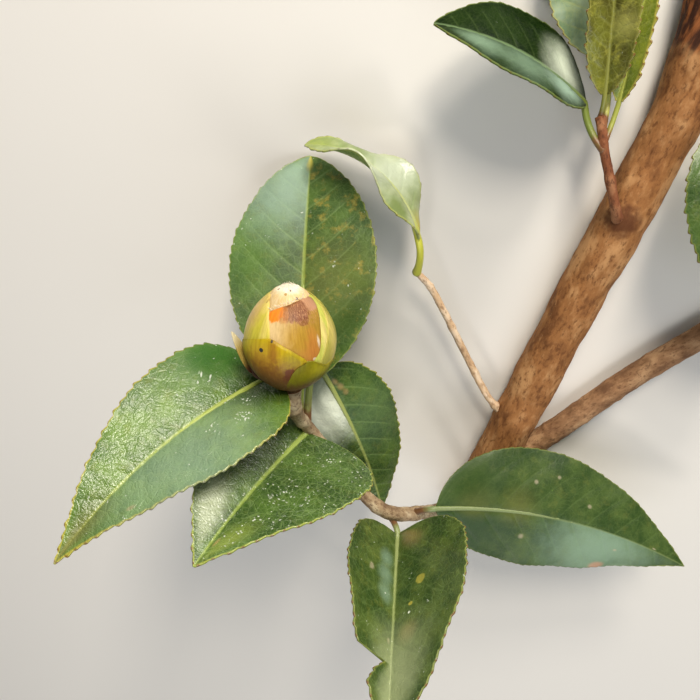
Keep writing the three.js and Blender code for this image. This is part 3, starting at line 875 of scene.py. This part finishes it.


# One row a leaf. Its turn is heading, pitch and roll in degrees. A place on the blade is a share of
# the half width, minus on its right, and of the length. A mark is place, size in millimetres,
# softness, colour and strength. Dust is place and size, and a matte area place, size and strength.
# Besides spots and washes of the leaves' own colour, many of the marks are painted sheen and painted shade.
PLAIN = dict(
    bend=None, young=False, tear=None, thickness=0.42, stalk_radius=0.85, toothing=1, quilt=1,
    sweep=0, twist=0, uneven=0, wave=0.3, wave_pitch=17, marks=(), dust_at=(), matte_at=(), look={},
)
LEAVES = [
    dict(
        name="leaf_behind_bud", stalk=(-35.2, -90.0, 38.4), foot=(-35.8, -83.5, 34.0), turn=(95, -29, 4),
        length=55.5, width=34.5, droop=15.5, sweep=-1, twist=-0.5, fold=10.5, curl=7,
        full_base=0.63, long_tip=0.69, quilt=0.3, toothing=0.7,
        look=dict(
            deep=(0.028, 0.062, 0.008), fresh=(0.062, 0.115, 0.014), margin=(0.34, 0.38, 0.09),
            gold=(0.25, 0.20, 0.03), gold_right=0.9, gold_left=0.15, rough=0.50, coat=0.0, shine=0.25,
            wrinkle=0.3, veins=0.3, margin_share=0.6, dust=0.55, net=0.16, rib=(0.24, 0.30, 0.05),
        ),
        dust_at=[(-0.5, 0.15, 1.0), (-0.4, 0.5, 0.9), (0.6, 0.3, 0.8)], matte_at=[(-0.75, 0.26, 6.0, 0.95)],
        # Among the marks, painted sheen near the tip on the left half, and painted shade from the bud low on
        # the right half.
        marks=[
            (0.42, 0.86, 10.0, 0.9, PAINTED_SHEEN_COOL, 0.7), (0.85, 0.55, 7.0, 0.9, FRESH_GREEN, 0.25),
            (-0.45, 0.42, 9.0, 0.9, OLIVE_WASH, 0.4), (0.0, 0.985, 2.6, 0.6, SPOT_YELLOW, 0.8),
            (-0.75, 0.26, 6.0, 0.9, PAINTED_SHADE_GREEN, 0.6),
        ],
    ),
    dict(
        name="leaf_left", stalk=(-35.3, -87.5, 39.0), foot=(-41.5, -79.6, 39.0), turn=(-175.5, 52, 71.5),
        length=58, width=32, droop=34, sweep=15, twist=-8, fold=20, curl=8,
        uneven=0.06, full_base=0.46, long_tip=1.28,
        look=dict(
            deep=(0.050, 0.105, 0.010), fresh=(0.110, 0.190, 0.022), margin=(0.46, 0.38, 0.04),
            rib=(0.30, 0.36, 0.06), dust=0.6, wrinkle=1.35, rough=0.30, coat=0.35, shine=0.5, veins=0.16,
            net=0.28,
        ),
        matte_at=[(-0.75, 0.12, 9.0, 0.95), (0.0, 0.97, 7.0, 0.9)],
        dust_at=[
            (0.02, 0.20, 1.6), (0.24, 0.14, 2.0), (0.31, 0.33, 1.6), (-0.45, 0.22, 1.8), (0.45, 0.22, 2.0),
        ],
        # Among the marks, painted shade at the foot where the bud shades it, and painted sheen over the left
        # half.
        marks=[
            (-0.75, 0.12, 8.0, 0.9, PAINTED_SHADE_FOOT_GREEN, 0.85), (0.75, 0.71, 0.8, 0.6, SPOT_TAN, 0.7),
            (0.5, 0.50, 15.0, 0.9, PAINTED_SHEEN_DIM, 0.6), (0.2, 0.05, 5.5, 0.9, PAINTED_SHADE_GREEN, 0.9),
            (0.0, 0.95, 9.0, 0.9, OLIVE_WASH, 0.8), (0.1, 0.05, 6.0, 0.8, PAINTED_SHADE_GREEN, 0.8),
        ],
    ),
    dict(
        name="leaf_low_left", stalk=(-32.5, -97.0, 35.0), foot=(-34.0, -95.3, 36.8), turn=(172, 73, 74),
        length=44.5, width=38.5, droop=9.5, sweep=7, twist=12, fold=21, curl=2,
        uneven=0.12, full_base=0.43, long_tip=1.11,
        look=dict(
            deep=(0.022, 0.055, 0.006), fresh=(0.055, 0.110, 0.014), net=0.32, fine_net=0.16, dust=0.95,
            wrinkle=1.4, coat=0.45, shine=0.5, veins=0.12, margin=(0.34, 0.38, 0.05), rib=(0.26, 0.34, 0.07),
        ),
        dust_at=[(0.38, 0.52, 2.6), (0.43, 0.69, 1.6), (0.49, 0.15, 1.2), (0.2, 0.28, 1.0), (0.2, 0.8, 1.6)],
        # Among the marks, a painted highlight near the tip on the right half, and painted shadow of leaf_left
        # nearer the foot.
        marks=[
            (0.18, 0.86, 1.0, 0.6, SPOT_TAN, 0.8), (-0.55, 0.74, 6.5, 0.7, PAINTED_SHEEN_PALE, 0.85),
            (-0.5, 0.25, 7.0, 0.9, PAINTED_SHADE_GREEN, 0.5), (0.45, 0.85, 5.0, 0.9, BLOOM_YELLOW, 0.5),
        ],
    ),
    dict(
        name="leaf_under_bud", stalk=(-34.0, -93.5, 36.7), foot=(-32.0, -82.0, 29.5), turn=(-63.5, -4, -20.5),
        length=48.5, width=24.5, droop=14, sweep=-14.5, twist=2, fold=-11.5, curl=21.5,
        uneven=0.06, full_base=0.56, long_tip=0.94,
        look=dict(
            deep=(0.022, 0.050, 0.008), fresh=(0.055, 0.098, 0.016), rib=(0.26, 0.30, 0.08), coat=0.15,
            shine=0.2,
        ),
        # Among the marks, a bright painted highlight on the right half near the foot, and a faint painted
        # sheen on the left half.
        marks=[
            (-0.4, 0.22, 8.0, 0.8, PAINTED_SHEEN_BRIGHT, 0.9), (0.4, 0.4, 8.0, 0.9, PAINTED_SHEEN_DIM, 0.15),
            (0.16, 0.10, 0.8, 0.8, SPOT_TAN, 0.6), (0.20, 0.14, 0.8, 0.8, SPOT_TAN, 0.6),
            (0.23, 0.18, 0.7, 0.8, SPOT_TAN, 0.5),
        ],
    ),
    dict(
        name="leaf_hanging", stalk=(-14.5, -120.8, 32.4), foot=(-11.7, -125.2, 35.0), turn=(-41.5, 84, -50),
        length=54, width=37, droop=3.5, sweep=0.5, twist=-2, fold=43, curl=-7.5,
        uneven=0.16, full_base=0.39, long_tip=1.02, tear=(0.665, 0.79, 0.15),
        look=dict(
            deep=(0.023, 0.050, 0.008), fresh=(0.072, 0.108, 0.020), dust=0.6, net=0.18, veins=0.12,
            rib=(0.22, 0.26, 0.09), rib_half=0.42, margin=(0.26, 0.28, 0.06), margin_share=0.5, coat=0.1,
            shine=0.3, brown_to=1.05,
        ),
        # Among the marks, painted sheen in a strip beside the midrib, and towards the tip a greyish bloom
        # that is partly painted sheen.
        marks=[
            (0.36, 0.32, 1.1, 0.2, SPOT_YELLOW, 0.6), (0.24, 0.42, 0.5, 0.3, SPOT_YELLOW, 0.8),
            (0.23, 0.46, 0.3, 0.3, DUST_WHITE, 0.9), (-0.51, 0.28, 0.8, 0.5, SPOT_PALE, 0.6),
            (0.24, 0.55, 2.2, 0.8, SPOT_TAN, 0.5), (-0.09, 0.57, 0.7, 0.4, SPOT_PALE, 0.6),
            (-0.22, 0.18, 2.2, 0.8, PAINTED_SHEEN_DIM, 0.7), (-0.21, 0.27, 2.4, 0.8, PAINTED_SHEEN_DIM, 0.7),
            (-0.20, 0.36, 2.2, 0.8, PAINTED_SHEEN_DIM, 0.7), (0.1, 0.70, 9.0, 0.9, BLOOM_AND_PAINTED_SHEEN_GREY, 0.8),
            (0.0, 0.86, 9.0, 0.9, BLOOM_AND_PAINTED_SHEEN_GREY, 0.75), (0.3, 0.05, 3.0, 0.8, SPOT_TAN, 0.5),
        ],
    ),
    dict(
        name="leaf_right", stalk=(-8.5, -124.5, 26.6), foot=(-2.6, -120.0, 29.7), turn=(-1.5, -13.5, -21),
        length=69, width=31.5, droop=0, sweep=-30.5, twist=-5, fold=-3, curl=18.5,
        uneven=0.07, full_base=0.62, long_tip=1.09, toothing=0.4, quilt=0.5,
        look=dict(
            deep=(0.020, 0.044, 0.007), fresh=(0.048, 0.080, 0.016), rib=(0.16, 0.20, 0.07),
            margin=(0.19, 0.22, 0.05), dust=0.1, net=0.05, fine_net=0.04, veins=0.08, wrinkle=0.35,
            rib_share=0.6, rib_half=0.34, gold_left=0.1, gold_right=0.08, rough=0.42, shine=0.25, coat=0.05,
            brown_to=1.2,
        ),
        # Among the marks, painted sheen over the right half and painted shade near the foot.
        marks=[
            (0.50, 0.36, 0.45, 0.6, SPOT_PALE, 0.6), (0.64, 0.44, 0.4, 0.6, SPOT_PALE, 0.55),
            (-0.45, 0.66, 12.0, 0.9, PAINTED_SHEEN_DIM, 0.85), (-0.4, 0.14, 8.0, 0.9, PAINTED_SHADE_GREEN, 0.8),
            (0.35, 0.57, 0.5, 0.6, SPOT_PALE, 0.55), (-0.43, 0.34, 0.7, 0.6, SPOT_PALE, 0.55),
            (-0.41, 0.72, 0.5, 0.6, SPOT_PALE, 0.55), (0.09, 0.86, 0.5, 0.6, SPOT_PALE, 0.6),
            (-0.94, 0.68, 1.7, 0.5, SCAR_PINK, 0.8), (0.12, 0.14, 4.0, 0.9, OLIVE_WASH, 0.45),
            (0.09, 0.30, 4.0, 0.9, OLIVE_WASH, 0.4), (0.5, 0.12, 9.0, 0.9, PAINTED_SHADE_GREEN, 0.6),
        ],
        matte_at=[(0.5, 0.12, 9.0, 0.9)],
    ),
    dict(
        name="leaf_thin_twig", stalk=(-12.0, -64.0, 9.5), foot=(-11.5, -53.6, 14.2), turn=(106, 0, 76),
        length=38, width=12.4, droop=89, sweep=-2, twist=-3, fold=18, curl=10.5,
        full_base=0.66, long_tip=0.85, toothing=0.6, quilt=0.5,
        stalk_radius=1.0, wave=2.4, wave_pitch=24,
        look=dict(
            deep=(0.17, 0.22, 0.07), fresh=(0.38, 0.43, 0.23), margin=(0.36, 0.38, 0.08),
            rib=(0.43, 0.47, 0.20), rib_share=0.4, wrinkle=0.4, rough=0.36, coat=0.3,
            stalk=(0.50, 0.50, 0.05), brown_to=0.4,
        ),
        # Among the marks, painted sheen over the middle of both halves.
        marks=[
            (0.0, 0.96, 5.0, 0.8, BLOOM_YELLOW, 0.8), (-0.3, 0.05, 3.0, 0.8, SPOT_YELLOW, 0.8),
            (0.35, 0.55, 6.0, 0.9, PAINTED_SHEEN_WHITE, 0.8), (-0.4, 0.42, 5.0, 0.9, PAINTED_SHEEN_WHITE, 0.7),
        ],
    ),
    dict(
        name="leaf_spray_left", stalk=(26.5, -33.0, 12.0), bend=(22.3, -29.5, 9.6), foot=(21.6, -23.8, 8.8),
        turn=(137, 18, 70.5), length=37.5, width=22.5, droop=34, sweep=10, twist=-1.5, fold=14.5, curl=10,
        full_base=0.65, long_tip=0.87, toothing=0.5, quilt=0.5,
        look=dict(
            deep=(0.003, 0.010, 0.001), fresh=(0.008, 0.020, 0.002), rib=(0.12, 0.18, 0.08),
            stalk=(0.15, 0.19, 0.03), margin=(0.17, 0.22, 0.06), net=0.02, fine_net=0.03, veins=0.06,
            wrinkle=0.4, coat=0.0, shine=0.03, gold_left=0.0, gold_right=0.0,
        ),
        # All four marks are painted sheen.
        marks=[
            (0.35, 0.20, 4.5, 0.9, PAINTED_SHEEN_COOL, 0.8), (0.40, 0.48, 5.0, 0.9, PAINTED_SHEEN_DIM, 0.55),
            (0.40, 0.75, 4.0, 0.9, PAINTED_SHEEN_DIM, 0.7), (-0.35, 0.20, 4.5, 0.9, PAINTED_SHEEN_WHITE, 0.75),
        ],
    ),
    dict(
        name="leaf_spray_back", stalk=(25.7, -29.8, 10.4), foot=(25.2, -15.8, 3.6), turn=(111, -1, 8),
        young=True, stalk_radius=0.55, length=42, width=15, droop=4, fold=8, curl=8,
        uneven=0.15, full_base=0.6, long_tip=0.8, quilt=0.4,
        look=dict(deep=(0.12, 0.19, 0.10), fresh=(0.34, 0.42, 0.27), wrinkle=0.4, coat=0.5, rib_share=0.4),
    ),
    dict(
        name="leaf_spray_young", stalk=(25.0, -26.6, 9.2), foot=(24.9, -21.8, 10.8), turn=(94, 4, -4.5),
        young=True, stalk_radius=0.55, length=37, width=10, droop=8, fold=28, curl=6,
        full_base=0.55, long_tip=0.8, quilt=0.7,
        look=dict(
            deep=(0.060, 0.055, 0.006), fresh=(0.130, 0.135, 0.012), gold_left=0.35, gold_right=0.5,
            rib=(0.20, 0.20, 0.035), margin=(0.24, 0.22, 0.04), veins=0.10, fine_net=0.05, rib_half=0.35,
        ),
        marks=[(-0.5, 0.35, 2.2, 0.9, SPOT_GOLD, 0.5), (-0.45, 0.6, 2.6, 0.9, SPOT_GOLD, 0.5)],
    ),
    dict(
        name="leaf_spray_narrow", stalk=(26.2, -31.6, 11.4), foot=(28.2, -23.4, 8.8), turn=(85, 0, -28),
        young=True, stalk_radius=0.55, length=27, width=6.5, droop=0, fold=25, curl=8,
        full_base=0.6, long_tip=0.8, quilt=0.4, look=dict(rib=(0.28, 0.30, 0.05), veins=0.12),
    ),
    dict(
        name="leaf_edge", stalk=(46.8, -20.5, 11.9), foot=(49.6, -25.5, 11.5), turn=(-70, 28, 0.5),
        length=48, width=24, droop=28, fold=12, curl=8,
        full_base=0.6, long_tip=0.85, quilt=0.5,
        look=dict(
            deep=(0.018, 0.042, 0.006), fresh=(0.048, 0.088, 0.014), wrinkle=0.4, net=0.05, margin_share=0.4,
            margin=(0.26, 0.27, 0.05), coat=0.05, shine=0.3,
        ),
    ),
]
for seed, given in enumerate(LEAVES):
    leaf = {**PLAIN, **given, "seed": seed}
    look = {**(YOUNG if leaf["young"] else GREEN), **leaf["look"]}
    skins = [upper_skin(leaf, look), lower_skin(leaf, look)]
    grown(leaf, skins, stalk_skin(leaf, look))

# The flower bud is a fat pointed egg of tough overlapping scales, each a curved shell of its own
# that starts at the bud's foot. They lie over a cream, silky inner bud whose tip stands out
# between them. Their colours run from brown at the foot to yellow-green, gold and rust above.
BUD_FOOT = (-35.4, -79.2, 43.1)
BUD_DIP = 3.0
BUD_LENGTH = 24.0
BUD_RADIUS = 10.0
BUD_FULLNESS = 0.92
BUD_BLUNTNESS = 0.56
BUD_FOOT_RADIUS = 2.2
SCALE_COLUMNS = 72
SCALE_ROWS = 44
SCALE_WALL = 0.17
SCALE_GAP = 0.22
SCALE_LEAN = 4.0
SCALE_TUCK = 0.12
SCALE_RIPPLE = 0.10
SCALE_ARC = 0.17
TIP_FROM = 19
TIP_TUCK = 0.25
INNER_LENGTH = 23.9
INNER_SUNK = 0.5
COVER_SUNK = 0.55
COVER_END = 22.6
COVER_SPAN = 2.4
FRAY_FROM = 21
FRAY_RISE = 0.16
SILK_ARC = 0.09
HAIRS = 90
HAIR_RADIUS = 0.045
HAIR_LENGTH = 0.55
HAIR_STEP = 0.13
HAIR_ROOT = 0.3

BUD_GREEN = (0.50, 0.44, 0.045)
BUD_GOLD = (0.29, 0.17, 0.018)
BUD_OLIVE = (0.30, 0.24, 0.012)
BUD_BROWN = (0.085, 0.030, 0.010)
BUD_CREAM = (0.74, 0.54, 0.25)
# Cream-white of the inner bud's tip and its hairs; on the middle scale the same white is painted as two
# glints.
BUD_WHITE_AND_PAINTED_GLINT = (0.70, 0.63, 0.50)
BUD_ORANGE = (0.74, 0.20, 0.012)
BUD_RUST = (0.14, 0.036, 0.008)
BUD_PINK = (0.40, 0.21, 0.13)
BUD_TAN = (0.56, 0.36, 0.14)
BUD_NAP = (0.45, 0.23, 0.11)
BUD_DOT = (0.03, 0.03, 0.028)
BUD_LIME = (0.46, 0.47, 0.085)
BUD_SAND = (0.61, 0.44, 0.21)
BUD_STRAW = (0.63, 0.50, 0.15)
BUD_AMBER = (0.40, 0.15, 0.030)
BUD_HONEY = (0.41, 0.23, 0.025)
BUD_YELLOW = (0.44, 0.38, 0.018)
BUD_MOSS = (0.155, 0.140, 0.001)
BUD_PALE_OLIVE = (0.34, 0.31, 0.055)
BUD_MUSTARD = (0.42, 0.30, 0.004)
BUD_CHESTNUT = (0.23, 0.085, 0.012)
BUD_WINE = (0.13, 0.018, 0.007)
STREAK_SHADE = (0.62, 0.55, 0.45)
SILK_DARK = (0.52, 0.35, 0.13)
SILK_PALE = (0.64, 0.49, 0.27)

# One row a scale, outermost last. The rim runs from its left end over the top to its right end,
# as azimuth in degrees from the bud's upper side and height in millimetres above its foot.
# A mark is azimuth, height, half its width in degrees, half its height, colour and strength.
# A wash is a soft mark. The foot is how far up the brown reaches, and the edge how pale the rim is.
PLAIN_SCALE = dict(foot=7, edge=0.1, washes=(), marks=())
SCALES = [
    dict(
        name="scale_right_inner", layer=2.0, base=(30, 130), color=BUD_LIME, edge=0.0,
        rim=[(20, 8), (24, 15), (36, 20), (70, 22.4), (110, 22.2), (135, 18), (145, 10)],
        washes=[(66, 16, 6, 5.5, BUD_CREAM, 0.5)],
    ),
    dict(
        name="scale_middle", layer=1.5, base=(-30, 38), color=BUD_GOLD,
        rim=[
            (-44, 12), (-42, 18), (-27, 19.7), (-14, 20.5), (0, 21.0), (18, 21.4), (40, 21.8), (70, 22.1),
            (92, 21.5), (86, 20.4), (73, 18.8), (63, 16.8), (57, 14), (53, 12), (43, 10), (38, 6),
        ],
        # The small white wash and the small white mark are painted glints.
        washes=[
            (-12, 15.5, 20, 5.0, BUD_SAND, 0.95), (20, 15.0, 15, 3.0, BUD_HONEY, 0.5),
            (45, 12.8, 8, 3.6, BUD_AMBER, 0.75), (53, 14.2, 1.6, 0.9, BUD_WHITE_AND_PAINTED_GLINT, 0.6),
            (36, 11.5, 10, 2.0, BUD_AMBER, 0.4),
        ],
        marks=[
            (70, 21.3, 30, 1.3, BUD_PINK, 0.9), (26, 20.5, 25, 1.7, BUD_RUST, 0.9),
            (36, 19.5, 12, 1.4, BUD_RUST, 0.75), (-16, 20.0, 17, 1.35, BUD_ORANGE, 1.0),
            (5, 19.7, 7, 1.2, BUD_AMBER, 0.6), (45, 10.8, 2.2, 0.3, BUD_WHITE_AND_PAINTED_GLINT, 0.6),
        ],
        velvet=(42, 20.4, 44, 2.6),
    ),
    dict(
        name="scale_left", layer=1, base=(-175, -10), color=BUD_GREEN, edge=0.4,
        rim=[
            (-190, 8), (-178, 16), (-150, 21), (-110, 22.4), (-70, 22.3), (-44, 21.5), (-29, 20.4),
            (-21, 19), (-15, 17.4), (-11, 15), (-9, 11), (-8, 6),
        ],
        washes=[
            (-22, 17.5, 5, 4.0, BUD_STRAW, 0.6), (-60, 19, 16, 3.6, BUD_TAN, 0.7),
            (-80, 15, 12, 6, BUD_SAND, 0.8), (-35, 20.5, 10, 1.2, BUD_STRAW, 0.6),
        ],
        marks=[(-46, 21.5, 3, 0.5, BUD_BROWN, 0.5)],
    ),
    dict(
        name="scale_right", layer=1, base=(45, 205), color=BUD_PALE_OLIVE, edge=0.12,
        rim=[
            (46, 6), (54, 9.5), (60, 11.5), (69, 14), (78, 16), (88, 18.2), (104, 20.2), (140, 21.6),
            (185, 20), (215, 14), (218, 7),
        ],
        washes=[(84, 14, 9, 6, BUD_STRAW, 0.5)],
    ),
    dict(
        name="scale_low_back", layer=0.5, base=(130, 225), color=BUD_OLIVE,
        rim=[(124, 4), (136, 8), (178, 10.5), (222, 8.5), (230, 4)],
    ),
    dict(
        name="scale_low_right", layer=0.4, base=(8, 150), color=BUD_MOSS, foot=6.5,
        rim=[(0, 4), (6, 9.5), (30, 10.6), (42, 10.5), (50, 9.7), (64, 8.4), (100, 8.4), (140, 8), (152, 4)],
        washes=[(60, 8.0, 20, 1.6, BUD_YELLOW, 0.5)],
    ),
    dict(
        name="scale_low_left", layer=0, base=(-148, 2), color=BUD_MUSTARD, foot=13.5, edge=0.0,
        rim=[
            (-158, 5), (-130, 9), (-95, 11), (-68, 12.3), (-46, 13.9), (-26, 14.9), (-9, 15.35), (8, 14.0),
            (20, 12.8), (34, 10.7), (26, 9.7), (19, 8.6), (14, 6.6), (8, 4),
        ],
        washes=[
            (-45, 13, 24, 2.4, BUD_YELLOW, 0.9), (-22, 10.6, 22, 3.0, BUD_HONEY, 0.8),
            (20, 11.3, 11, 2.0, BUD_OLIVE, 0.8), (-6, 13.0, 5, 2.6, BUD_CHESTNUT, 0.7),
            (-20, 6.5, 44, 3.4, BUD_CHESTNUT, 0.9),
        ],
        marks=[
            (14, 7.6, 5.5, 1.5, BUD_WINE, 0.85), (9, 6.2, 5, 1.2, BUD_WINE, 0.7),
            (-8, 14.95, 1.5, 0.3, BUD_DOT, 0.9), (-21.2, 12.8, 2.4, 0.38, BUD_DOT, 1.0),
        ],
    ),
]
CAP_RIM = [(-27, 20.2), (-14, 20.8), (0, 21.3), (18, 21.7), (40, 22.0), (64, 22.2)]
CAP_MARKS = [
    (2, 22.8, 4.5, 0.17, BUD_GOLD, 0.9), (-58, 23.2, 4, 0.13, BUD_BROWN, 0.9),
    (24, 23.3, 4, 0.13, BUD_BROWN, 0.9), (40, 22.1, 3.5, 0.2, BUD_BROWN, 0.9),
]


def bud_radius(height):
    share = min(max(height / BUD_LENGTH, 0.0), 1.0)
    swell = BUD_RADIUS * math.sin(math.pi * share**BUD_FULLNESS) ** BUD_BLUNTNESS if 0 < share < 1 else 0.0
    return max(swell, BUD_FOOT_RADIUS * max(0.0, 1 - 3 * share))


def on_bud(azimuth, height, inwards):
    """The point over the bud's foot at an azimuth and height, some way under its outer surface"""
    dip = math.radians(BUD_DIP)
    axis = Vector((0, math.cos(dip), -math.sin(dip)))
    upper = Vector((0, math.sin(dip), math.cos(dip)))
    turn = math.radians(azimuth)
    outward = upper * math.cos(turn) + Vector((math.sin(turn), 0, 0))
    radius = max(bud_radius(height) - inwards, 0.0)
    return spot(*BUD_FOOT) + (axis * (height - 0.5 * inwards * height / BUD_LENGTH) + outward * radius) * MM


def along_rim(rim, share):
    """The azimuth and height at a share of the way along a rim, smoothly through its stations"""
    last = len(rim) - 1
    k = min(int(share * last), last - 1)
    t = share * last - k
    result = []
    for a, b, c, d in zip(rim[max(k - 1, 0)], rim[k], rim[k + 1], rim[min(k + 2, last)]):
        leave, arrive = (c - a) / 2, (d - b) / 2
        bow, turn = 2 * (b - c) + leave + arrive, 3 * (c - b) - 2 * leave - arrive
        result.append(b + t * (leave + t * (turn + t * bow)))
    return result


def shell(scale):
    """A scale formed from a flat grid, its rows running from the bud's foot to the scale's rim"""
    piece = fresh_grid(scale["name"], SCALE_COLUMNS, SCALE_ROWS)
    left, right = scale["base"]
    places = []
    for vertex in piece.data.vertices:
        across, up = vertex.co.x + 0.5, vertex.co.y + 0.5
        rim_azimuth, rim_height = along_rim(scale["rim"], across)
        start = left + (right - left) * across
        height = rim_height * up
        azimuth = start + (rim_azimuth - start) * up**SCALE_LEAN
        side = min(across, 1 - across) * 12
        under = scale["layer"] * SCALE_GAP * min(1.0, 3 * up)
        tuck = SCALE_TUCK * (up**8 + max(0.0, 1 - side) ** 2) + TIP_TUCK * max(0.0, height - TIP_FROM) / 4
        ripple = SCALE_RIPPLE * noise.noise(Vector((azimuth / 14, height / 7, 0)))
        vertex.co = on_bud(azimuth, height, under + tuck - ripple)
        places.append((azimuth, height, rim_height - height))
    keep(piece, "place", places)
    piece.data.materials.append(scale_skin(scale))
    return walled(piece, SCALE_WALL)


def marked(color, place, ragged, marks, inner=1.05, outer=1.35):
    """Lays oval marks, given in degrees and millimetres, over a colour"""
    for azimuth, height, half_width, half_height, mark_color, strength in marks:
        far = length_of((place - (azimuth, height, 0)) * (1 / half_width, 1 / half_height, 0))
        color = blend(band(ragged * 1.2 + far, outer, inner) * strength, color, mark_color)
    return color


def scale_skin(scale):
    """A scale's waxy skin, with fine lengthwise streaks, brown at its foot and pale at its rim"""
    material, shader = painter(scale["name"] + "_skin", scale["color"], 0.42)
    place = kept(shader, "place")
    _, height, below_rim = split(place)
    arc = place * (SCALE_ARC, 1, 0)
    streaks = grain(arc * (1, 0.16, 0), 0.55, 4, 0.6)
    ragged = grain(arc, 1.1, 4, 0.6) - 0.5
    color = marked(scale["color"], place, ragged, scale["washes"], 0.3, 1.9)
    color = marked(color, place, ragged, scale["marks"])
    if "velvet" in scale:
        nap = grain(arc * (3.2, 1, 0), 0.55, 3, 0.7)
        napped = marked(color, place, ragged, [(*scale["velvet"], BUD_NAP, 0.8)], 0.4, 1.4)
        color = blend(band(nap, 0.46, 0.62), color, napped)
    color = blend(band(streaks, 0.62, 0.34) * 0.45, color, STREAK_SHADE, "MULTIPLY")
    color = blend(band(ragged * 4.0 + height, scale["foot"], 2.5) * 0.95, color, BUD_BROWN)
    color = blend(band(below_rim, 0.35, 0.0) * scale["edge"], color, BUD_TAN)
    feed(shader, {"Base Color": color, "Specular IOR Level": 0.18})
    embossed(shader, streaks * 0.7 + ragged * 0.6, 0.45, 0.14)
    return material


def cap_skin():
    """The silky cream skin of the inner bud, whitest at its frayed tip"""
    material, shader = painter("bud_silk", BUD_CREAM, 0.6)
    place = kept(shader, "place")
    arc = place * (SILK_ARC, 1, 0)
    silk = grain(arc * (1, 0.2, 0), 0.3, 4, 0.65)
    ragged = grain(arc, 0.6, 3) - 0.5
    color = blend(band(silk, 0.35, 0.68), SILK_DARK, SILK_PALE)
    color = blend(band(ragged * 1.2 + split(place)[1], 22.4, 23.6), color, BUD_WHITE_AND_PAINTED_GLINT)
    feed(shader, {"Base Color": marked(color, place, ragged, CAP_MARKS)})
    embossed(shader, silk, 0.6, 0.12)
    return material


bpy.ops.object.select_all(action="DESELECT")
bpy.ops.mesh.primitive_uv_sphere_add(segments=64, ring_count=48, radius=1, location=(0, 0, 0))
inner_bud = bpy.context.object
inner_bud.name = "inner_bud"
places = []
for vertex in inner_bud.data.vertices:
    height = INNER_LENGTH * math.acos(max(-1.0, min(1.0, -vertex.co.z))) / math.pi
    azimuth = math.degrees(math.atan2(vertex.co.x, -vertex.co.y))
    covered = min(max((COVER_END - height) / COVER_SPAN, 0.0), 1.0)
    sunk = INNER_SUNK + COVER_SUNK * covered * covered * (3 - 2 * covered)
    frayed = FRAY_RISE * noise.noise(Vector((azimuth / 9, height, 0))) * max(0.0, height - FRAY_FROM)
    vertex.co = on_bud(azimuth, height, sunk - frayed)
    places.append((azimuth, height, 0))
keep(inner_bud, "place", places)
inner_bud.data.materials.append(cap_skin())
closed(inner_bud)

# Fine silky hairs stand on the tip of the inner bud and along the frayed rim of its cap.
hair_roots = [(math.degrees(2.4 * i), INNER_LENGTH - 0.7 * i / HAIRS) for i in range(HAIRS // 2)]
for i in range(HAIRS // 2):
    rim_azimuth, rim_height = along_rim(CAP_RIM, 2 * i / HAIRS)
    hair_roots.append((rim_azimuth + 3 * math.sin(5 * i), rim_height + 0.15 * math.cos(7 * i)))
hairs = []
for i, (azimuth, height) in enumerate(hair_roots):
    root = on_bud(azimuth, height, HAIR_ROOT)
    above = on_bud(azimuth + 9 * math.sin(3 * i), height + 0.3, -0.25)
    length = (HAIR_LENGTH + HAIR_STEP * (i % 5)) * MM
    aim = (above - root).normalized()
    bpy.ops.mesh.primitive_cone_add(
        vertices=4, radius1=HAIR_RADIUS * MM, radius2=0, depth=length, location=(0, 0, 0)
    )
    hair = bpy.context.object
    stand = Matrix.Translation(root + aim * length / 2) @ aim.to_track_quat("Z", "Y").to_matrix().to_4x4()
    hair.data.transform(stand)
    hairs.append(hair)
hairs = joined(hairs)
hairs.name = "bud_hairs"
hairs.data.materials.append(painter("hair_white", BUD_WHITE_AND_PAINTED_GLINT, 0.5)[0])

# The scales go over the inner bud from the innermost to the outermost.
bud_pieces = [shell({**PLAIN_SCALE, **scale}) for scale in SCALES]
for piece in [*bud_pieces, inner_bud, hairs]:
    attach(piece, "root")
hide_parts("flower_bud")

# The bract is one small dry leaf-like scale beside the bud's foot. It is papery and pale at its
# tip, and it has come away from the bud. It is formed as the leaves are, with a short foot.
BRACT = dict(
    PLAIN, name="bract", seed=20, stalk=(-39.5, -77.5, 43.5), foot=(-43.2, -75.2, 45.0), turn=(109, -4, 80),
    length=10, width=3.2, droop=22, sweep=-8, fold=0, curl=20, full_base=0.5, long_tip=0.8,
    thickness=0.19, stalk_radius=0.38, toothing=0, quilt=0.3, wave=0.1,
)
BRACT_STRAW = (0.36, 0.27, 0.06)
BRACT_BROWN = (0.26, 0.17, 0.03)
BRACT_TIP = (0.52, 0.45, 0.27)


def bract_skin():
    """Dry bract: dark at its foot, brown and straw along its fibres and whitish at its papery tip"""
    material, shader = painter("dry_bract", BUD_GOLD, 0.5)
    share = kept(shader, "share")
    fibre = grain(share * (2, 1.5, 0), 0.3, 3)
    color = blend(band(fibre, 0.35, 0.65), BRACT_STRAW, BRACT_BROWN)
    color = blend(band(split(share)[1], 0.55, 0.92), color, BRACT_TIP)
    color = blend(band(split(share)[1], 0.36, 0.10), color, BUD_BROWN)
    feed(shader, {"Base Color": color})
    embossed(shader, fibre, 0.4, 0.08)
    return material


grown(BRACT, [bract_skin()] * 2, painter("bract_foot_skin", BUD_BROWN, 0.6)[0])
